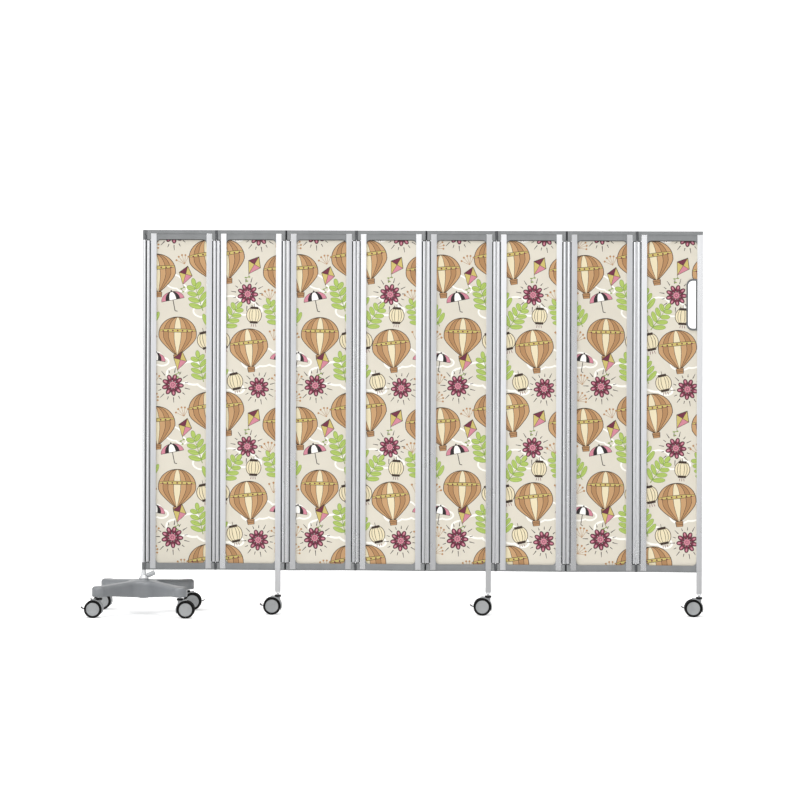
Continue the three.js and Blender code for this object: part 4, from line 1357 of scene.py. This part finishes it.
# %% Cheek, neck and slot of the housing
WEB_START = 0.004
CHEEK_SIDES = 64
CHEEK_HALF = 0.0055
LEVER_PIVOT = (-TRAIL - 0.017, 0, WHEEL_RADIUS + 0.0045)
SLOT = 0.013
SLOT_HALF = 0.003
HOUSING_EDGE = 0.0006
hood_middle = HOOD_OUTER - HOOD_WALL / 2


def across(name, radius, centre, half, sides=CHEEK_SIDES):
    """A round bar that lies across the caster, along Y."""
    turn = (math.pi / 2, 0, 0)
    options = {"vertices": sides, "radius": radius, "depth": 2 * half}
    options |= {"location": centre, "rotation": turn}
    return settle(fresh(name, bpy.ops.mesh.primitive_cylinder_add, **options))


web = swept("web", WEB_START, hood_middle, CHEEK)
combine(web, across("cheek", CHEEK_RADIUS, axle_point, CHEEK_HALF))
combine(hood_model, web)
neck = block("neck", (-NECK, -NECK, WHEEL_RADIUS), (NECK, NECK, COLLAR_LEVELS[0] + SINK))
round_edges(neck, lambda m, d: is_upright(d), NECK * NECK_SHARE, 6)
cut(neck, across("under_hood", hood_middle, axle_point, HOOD_WIDTH / 2, 128))
combine(hood_model, neck)
cut(hood_model, across("axle_bore", AXLE_RADIUS + CAP_CLEARANCE, axle_point, HOOD_WIDTH))
free_housing = copied(hood_model, "free_housing")
slot_low = (LEVER_PIVOT[0] - SLOT, -SLOT_HALF, LEVER_PIVOT[2] - SLOT)
slot_high = (LEVER_PIVOT[0] + SLOT / 2, SLOT_HALF, LEVER_PIVOT[2] + SLOT)
cut(hood_model, block("lever_slot", slot_low, slot_high))
for housing in (hood_model, free_housing):
    soften(outward(housing), HOUSING_EDGE, 3, 40, 32)
print("housing faces", len(hood_model.data.polygons))

# %% [markdown]
# The brake lever is a thin black blade between the wheels that curves up to a pedal. A small
# face is pulled out along the curve, one extrusion after another, and widened for the pedal.

# %% Brake lever
LEVER_TIP = (-0.0775, 0.046)
LEVER_WIDTH = 0.0054
LEVER_HALF = 0.0019
LEVER_DIP = 0.027
PEDAL_WIDTH = 0.024
PEDAL_START = -0.067
LEVER_STEPS = 14
PEDAL_STEPS = 5
PEDAL_NECK = 0.0012
LEVER_HUB = 0.0045
LEVER_PIN = 0.002


def blade_height(x):
    """Height of the blade's middle: a hook that dips behind the tyre and rises to the tip."""
    share = (x - LEVER_PIVOT[0]) / (LEVER_TIP[0] - LEVER_PIVOT[0])
    rise = LEVER_TIP[1] - LEVER_PIVOT[2]
    return LEVER_PIVOT[2] + rise * share - LEVER_DIP * share * (1 - share)


def pull(x, z, to_x):
    to_z = blade_height(to_x)
    extrude(to_x - x, 0, to_z - z)
    return to_x, to_z


lever_model = fresh("lever_model", bpy.ops.mesh.primitive_plane_add, size=1, location=LEVER_PIVOT)
lever_model.rotation_euler = (0, math.pi / 2, 0)
lever_model.scale = (2 * LEVER_HALF, LEVER_WIDTH, 1)
settle(lever_model)
editing(lever_model)
bpy.ops.mesh.select_all(action="SELECT")
x, z = LEVER_PIVOT[0], LEVER_PIVOT[2]
for step in range(1, LEVER_STEPS + 1):
    x, z = pull(x, z, LEVER_PIVOT[0] + (PEDAL_START - LEVER_PIVOT[0]) * step / LEVER_STEPS)
widen = PEDAL_WIDTH / LEVER_WIDTH
x, z = pull(x, z, x - PEDAL_NECK)
bpy.ops.transform.resize(value=(1, widen, 1), center_override=(x, 0, z))
for step in range(1, PEDAL_STEPS + 1):
    x, z = pull(x, z, x + (LEVER_TIP[0] - x) * step / PEDAL_STEPS)
done()
soften(outward(lever_model), BREAK, 3, 50)
lever_hub = across("lever_hub", LEVER_HUB, LEVER_PIVOT, LEVER_WIDTH / 2, 40)
combine(lever_hub, across("lever_pin", LEVER_PIN, LEVER_PIVOT, CHEEK / 2, 24))
combine(lever_model, soften(outward(lever_hub), FINE_BREAK, 2, 40))
polish(outward(lever_model))
print("lever box", [round(v, 4) for v in lever_model.dimensions])

# %% Collar disc, stem and axle
STEM_TOPS = {"base": 0.116, "leg": 0.125}
STEM_RIM = 0.001
COLLAR_FOOT = 0.0012
COLLAR_BROW = 0.0015
AXLE_HALF = 0.0222
collar_low, collar_high = COLLAR_LEVELS
disc_rings = [(COLLAR_RADIUS - COLLAR_FOOT, collar_low), (COLLAR_RADIUS, collar_low + COLLAR_FOOT),
              (COLLAR_RADIUS, collar_high - COLLAR_BROW),
              (COLLAR_RADIUS - COLLAR_BROW, collar_high), (STEM_RADIUS, collar_high)]
disc_model = soften(stacked("disc_model", disc_rings), FINE_BREAK)
stem_models = {}
for kind, stem_top in STEM_TOPS.items():
    stem_rings = [(STEM_RADIUS, collar_high - SINK), (STEM_RADIUS, stem_top - STEM_RIM),
                  (STEM_RADIUS - STEM_RIM, stem_top)]
    stem_models[kind] = polish(stacked(f"stem_{kind}", stem_rings))
axle_model = soften(across("axle_model", AXLE_RADIUS, axle_point, AXLE_HALF, 40), BREAK)
print("stems", list(stem_models))

# %% Casters at their places
BASE_CASTERS = {"near_left": (-1, -1, 0, True), "near_right": (1, -1, math.pi, False),
                "far_left": (-1, 1, 0, True), "far_right": (1, 1, math.pi, True)}
STEM_HALF_SPACING = 0.172
caster_places = {}
for name, (side_x, side_y, turn, brake) in BASE_CASTERS.items():
    spot = (post_x + side_x * STEM_HALF_SPACING, post_y + side_y * STEM_HALF_SPACING, 0)
    placed = Matrix.Translation(spot) @ Matrix.Rotation(turn, 4, "Z")
    caster_places[name] = (placed, "base", brake)
for index in LEGGED:
    spot = places[index] @ Vector((leg_middle, 0, 0))
    caster_places[f"leg_{index}"] = (Matrix.Translation(spot), "leg", True)

near_wheel = Matrix.Translation((0, -WHEEL_MIDDLE, 0)) @ to_axle
far_turn = Matrix.Rotation(-math.pi / 2, 4, "X")
far_wheel = Matrix.Translation((-TRAIL, WHEEL_MIDDLE, WHEEL_RADIUS)) @ far_turn
for name, (placed, kind, brake) in caster_places.items():
    swivel, rolling = f"swivel_{name}", f"wheels_{name}"
    housing = copied(hood_model if brake else free_housing, f"caster_body_{name}", placed)
    mount(housing, swivel, caster_plastic, "caster_plastic", f"caster_{name}_housing")
    disc = copied(disc_model, f"caster_collar_{name}", placed)
    mount(disc, swivel, lever_black, "lever_black")
    stem = copied(stem_models[kind], f"caster_stem_{name}", placed)
    mount(stem, swivel, post_steel, "post_steel")
    for side, seat in (("near", near_wheel), ("far", far_wheel)):
        tyre = copied(tyre_model, f"tyre_{side}_{name}", placed @ seat)
        mount(tyre, rolling, tyre_black, "tyre_black", f"caster_{name}_wheels")
        hub = copied(hub_model, f"wheel_hub_{side}_{name}", placed @ seat)
        mount(hub, rolling, hub_plastic, "caster_plastic")
    axle = copied(axle_model, f"axle_{name}", placed)
    mount(axle, rolling, post_steel, "post_steel")
    if brake:
        lever = copied(lever_model, f"brake_lever_{name}", placed)
        mount(lever, f"lever_{name}", lever_black, "lever_black", f"caster_{name}_brake_lever")
discard(hood_model, free_housing, tyre_model, hub_model, disc_model, axle_model, lever_model)
discard(*stem_models.values())
print("casters", len(caster_places))

# %% [markdown]
# The base is one casting: four arms with round ends that flare into each other and deepen
# towards a hub, which holds the post. Two crossing bars are joined, and the corners between
# them and the top edges are rounded. Round ends come on the arms. A fine voxel remesh makes
# them one skin, on which the arms are then deepened, as a sculptor would. A second one melts
# the hub into the arms, as the metal does in the mould.

# %% Base arms
ARM_END = 0.031
ARM_HALF = 0.028
ARM_LEVELS = (0.090, 0.134)
ARM_EDGE = 0.014
UNDER_EDGE = 0.0015
FLARE = 0.062
VOXEL = 0.0025
CORNER_SEARCH = 0.001
arm_reach = STEM_HALF_SPACING * math.sqrt(2)
arm_low, arm_high = ARM_LEVELS

base = block("base_arms", (-arm_reach, -ARM_HALF, arm_low), (arm_reach, ARM_HALF, arm_high))
combine(base, block("bar", (-ARM_HALF, -arm_reach, arm_low), (ARM_HALF, arm_reach, arm_high)))
inner_corner = ARM_HALF * math.sqrt(2) + CORNER_SEARCH
round_edges(base, lambda m, d: is_upright(d) and m.xy.length < inner_corner, FLARE, 14)
outward(base)
print("arm outline faces", len(base.data.polygons))

# %% Rounded edges of the arms


def on_rim(level):
    return lambda m, d: abs(m.z - level) < TOUCH and abs(d.z) < 0.1


editing(base, "FACE")
pick_faces(base, lambda c, n: abs(n.z) > 0.9)
bpy.ops.mesh.dissolve_faces()
done()
round_edges(base, on_rim(arm_high), ARM_EDGE, 10)
round_edges(base, on_rim(arm_low), UNDER_EDGE, 3)
print("arm faces", len(base.data.polygons))

# %% Round ends, melted into the arms
END_STEPS = 10

end_rings = [(ARM_END - UNDER_EDGE, arm_low), (ARM_END, arm_low + UNDER_EDGE)]
for step in range(END_STEPS + 1):
    turn = math.pi / 2 * step / END_STEPS
    inset = ARM_EDGE * (1 - math.cos(turn))
    end_rings.append((ARM_END - inset, arm_high - ARM_EDGE * (1 - math.sin(turn))))
end_model = stacked("end_model", end_rings, 72)
for end_x, end_y in ((1, 0), (-1, 0), (0, 1), (0, -1)):
    place = Matrix.Translation((end_x * arm_reach, end_y * arm_reach, 0))
    join_into(base, copied(end_model, "arm_end", place))
discard(end_model)
modify(base, "REMESH", mode="VOXEL", voxel_size=VOXEL)
print("arm faces with ends", len(base.data.polygons))

# %% Deeper towards the hub
HUB_FOOT = 0.044
HUB_LEVELS = (0.0735, 0.146)
HUB_TOP = (0.024, 0.150)
BOSS = (0.022, 0.068)
BOSS_EDGE = 0.0015
HUB_EDGE = 0.002
POST_BORE = 0.0053
BORE_LEVELS = (0.0737, 0.2)
ARM_SLOPE_START = arm_reach - ARM_END
arm_centre = (arm_low + arm_high) / 2
for vertex in base.data.vertices:
    distance = vertex.co.xy.length
    share = (ARM_SLOPE_START - distance) / (ARM_SLOPE_START - HUB_FOOT)
    share = min(max(share, 0), 1)
    rise = HUB_LEVELS[1] - arm_high if vertex.co.z > arm_centre else HUB_LEVELS[0] - arm_low
    vertex.co.z += rise * share
hub_low, hub_high = HUB_LEVELS
boss_radius, boss_low = BOSS
hub_rings = [(boss_radius - BOSS_EDGE, boss_low), (boss_radius, boss_low + BOSS_EDGE),
             (boss_radius, hub_low), (HUB_FOOT - HUB_EDGE, hub_low), (HUB_FOOT, hub_low + HUB_EDGE),
             (HUB_FOOT, hub_high), HUB_TOP]
hub = stacked("hub", hub_rings, 96)
join_into(base, hub)
modify(base, "REMESH", mode="VOXEL", voxel_size=VOXEL)
modify(base, "SMOOTH", factor=0.5, iterations=8)
cut(base, rod("post_bore", POST_BORE, 0, 0, *BORE_LEVELS))
stand = Matrix.Translation((post_x, post_y, 0)) @ Matrix.Rotation(math.pi / 4, 4, "Z")
turned_to(outward(base), stand)
base.name = "base_arms_and_hub"
mount(polish(base, 40), "base", base_paint, "base_paint", "base_casting")
print("base box", [round(v, 4) for v in base.dimensions])

# %% [markdown]
# The post stands in the hub: a steel rod with a grey cover on its head, a bright sleeve over the
# height of the panels, and a silver foot below them with a pale clamp knob that leans up to the
# right. All of them are turned pieces, so each is built upwards from rings or a tube.

# %% Post foot and knob
FOOT = [(0.0190, 0.1503), (0.0200, 0.1513), (0.0200, 0.1553), (0.0190, 0.1563),
        (0.0120, 0.1663), (0.0090, 0.1897)]
KNOB = [(0.0045, 0.006), (0.0045, 0.0175), (0.0085, 0.018), (0.0102, 0.020), (0.0102, 0.050),
        (0.0085, 0.0517), (0.0062, 0.052)]
FOOT_BORE_LEVELS = (0.14, 0.2)
KNOB_HEIGHT = 0.1563
KNOB_TILT = math.radians(65)
KNOB_GRIPS = 10
GRIP_RADIUS = 0.0013
GRIP_PLACE = 0.0109
GRIP_LEVELS = (0.022, 0.06)

foot = stacked("foot_column", FOOT, 72)
cut(foot, rod("foot_bore", POST_BORE, 0, 0, *FOOT_BORE_LEVELS))
at_post = Matrix.Translation((post_x, post_y, 0))
turned_to(soften(outward(foot), BREAK, 3, 20), at_post)
foot.name = "post_foot_column"
mount(foot, "base", foot_paint, "foot_paint", "post_foot")

knob = stacked("knob", KNOB, 40)
groove_model = rod("knob_groove", GRIP_RADIUS, GRIP_PLACE, 0, *GRIP_LEVELS, 12)
for step in range(KNOB_GRIPS):
    turn = Matrix.Rotation(2 * math.pi * step / KNOB_GRIPS, 4, "Z")
    cut(knob, copied(groove_model, "groove", turn))
discard(groove_model)
soften(outward(knob), FINE_BREAK, 2, 30)
lean = Matrix.Translation((0, 0, KNOB_HEIGHT)) @ Matrix.Rotation(KNOB_TILT, 4, "Y")
turned_to(knob, at_post @ lean)
knob.name = "clamp_knob"
mount(knob, "base", knob_plastic, "foot_paint")
print("foot faces", len(foot.data.polygons))

# %% Post rod and sleeve
ROD_RADIUS = 0.005
HEAD_RADIUS = 0.008
SLEEVE_EDGE = 0.0004
ROD_RINGS = [(ROD_RADIUS - 0.001, 0.074), (ROD_RADIUS, 0.075), (ROD_RADIUS, 1.640)]
HEAD_RINGS = [(HEAD_RADIUS - 0.0006, 1.630), (HEAD_RADIUS, 1.6306), (HEAD_RADIUS, 1.6485),
              (HEAD_RADIUS - 0.0015, 1.650)]
rod_piece = polish(stacked("post_rod_bar", ROD_RINGS))
mount(turned_to(rod_piece, at_post), "base", post_steel, "post_steel", "post_rod")
head = polish(stacked("post_head", HEAD_RINGS), 50)
mount(turned_to(head, at_post), "base", barrel_plastic, "post_steel")

sleeve_wall = COLUMN_RADIUS - POST_BORE
sleeve_place = (post_x, post_y, COLUMN_BOTTOM, COLUMN_TOP)
sleeve = tube("post_sleeve_tube", COLUMN_RADIUS, sleeve_wall, *sleeve_place, 64)
mount(soften(sleeve, SLEEVE_EDGE), "base", satin_aluminium, "satin_aluminium", "post_sleeve")
print("sleeve faces", len(sleeve.data.polygons))

# %% [markdown]
# A plain white studio. The floor and the background are lit until they are white. What the metal
# mirrors matters more: the room is bright to the left of the camera and dimmer to the right, so
# panels that face a little left shine and their neighbours are greyer, as on the real screen.
# It is dimmer behind the screen and far to the left too, or the metal would look white from there.

# %% Floor
FLOOR_SIZE = 10
FLOOR_GLOW = 0.4
CARD_PLACE = (0, -3.52, 0.03)
CARD_SIZE = (5.2, 7, 1)
floor_white, shader = new_finish("floor_white", 0.9)
shader.inputs["Emission Color"].default_value = (1, 1, 1, 1)
shader.inputs["Emission Strength"].default_value = FLOOR_GLOW
tint(floor_white, shader, grain(floor_white, 2), (250, 250, 250), (252, 252, 252))
floor = fresh("floor", bpy.ops.mesh.primitive_plane_add, size=FLOOR_SIZE, location=(0, 0, 0))
floor.data.materials.append(floor_white)

# A grey card lies in front of the screen. Only mirror-like surfaces see it, so it shades the
# lower ends of the metal without a shadow of its own.
card_grey, shader = new_finish("card_grey", 0.9)
tint(card_grey, shader, grain(card_grey, 2), (152, 152, 152), (156, 156, 156))
card = fresh("card", bpy.ops.mesh.primitive_plane_add, size=1, location=CARD_PLACE)
card.scale = CARD_SIZE
settle(card)
card.data.materials.append(card_grey)
for kind in ("camera", "diffuse", "shadow", "transmission", "volume_scatter"):
    setattr(card, f"visible_{kind}", False)
print("floor", FLOOR_SIZE, "m")

# %% Room and lamps
ROOM_LEFT = 1.26
ROOM_RIGHT = 0.51
ROOM_TURN = (-0.12, 0.15)
ROOM_DEPTH = (0.05, 0.40)
ROOM_SIDE = (-0.90, -0.50)
ROOM_BACK = 0.60
BACKDROP = 1.3
KEY = {"place": (-5.5, -6.0, 4.2), "size": 3.5, "power": 110}
FILL = {"place": (5.0, -7.0, 3.0), "size": 4.0, "power": 30}
TOP = {"place": (0.0, -1.5, 6.0), "size": 5.0, "power": 175}
AIM = Vector((0.2, 0, 0.8))

bpy.context.scene.view_settings.view_transform = "Standard"
room = bpy.data.worlds.new("room")
bpy.context.scene.world = room
room.use_nodes = True
background = room.node_tree.nodes["Background"]
background.inputs["Color"].default_value = (1, 1, 1, 1)
way = node(room, "ShaderNodeTexCoord").outputs["Generated"]
parts = node(room, "ShaderNodeSeparateXYZ", Vector=way).outputs


def fade(axis, reach, start, end):
    """The room's brightness along one axis, eased from start to end."""
    easing = {"interpolation_type": "SMOOTHSTEP"}
    limits = {"From_Min": reach[0], "From_Max": reach[1], "To_Min": start, "To_Max": end}
    return node(room, "ShaderNodeMapRange", easing, Value=parts[axis], **limits).outputs["Result"]


level = fade("X", ROOM_TURN, ROOM_LEFT, ROOM_RIGHT)
level = product(room, level, fade("Y", ROOM_DEPTH, 1, ROOM_BACK))
level = product(room, level, fade("X", ROOM_SIDE, ROOM_BACK, 1))
seen = node(room, "ShaderNodeLightPath").outputs["Is Camera Ray"]
choice = node(room, "ShaderNodeMix", {"data_type": "FLOAT"}, Factor=seen, A=level, B=BACKDROP)
room.node_tree.links.new(choice.outputs["Result"], background.inputs["Strength"])


def lamp(name, place, size, power):
    data = bpy.data.lights.new(name, "AREA")
    data.shape = "DISK"
    data.size = size
    data.energy = power
    made = bpy.data.objects.new(name, data)
    bpy.context.scene.collection.objects.link(made)
    made.location = place
    made.rotation_euler = (AIM - Vector(place)).to_track_quat("-Z", "Y").to_euler()
    made.visible_camera = False
    return made


for name, settings in (("key", KEY), ("fill", FILL), ("top", TOP)):
    lamp(name, **settings)
print("lamps 3")
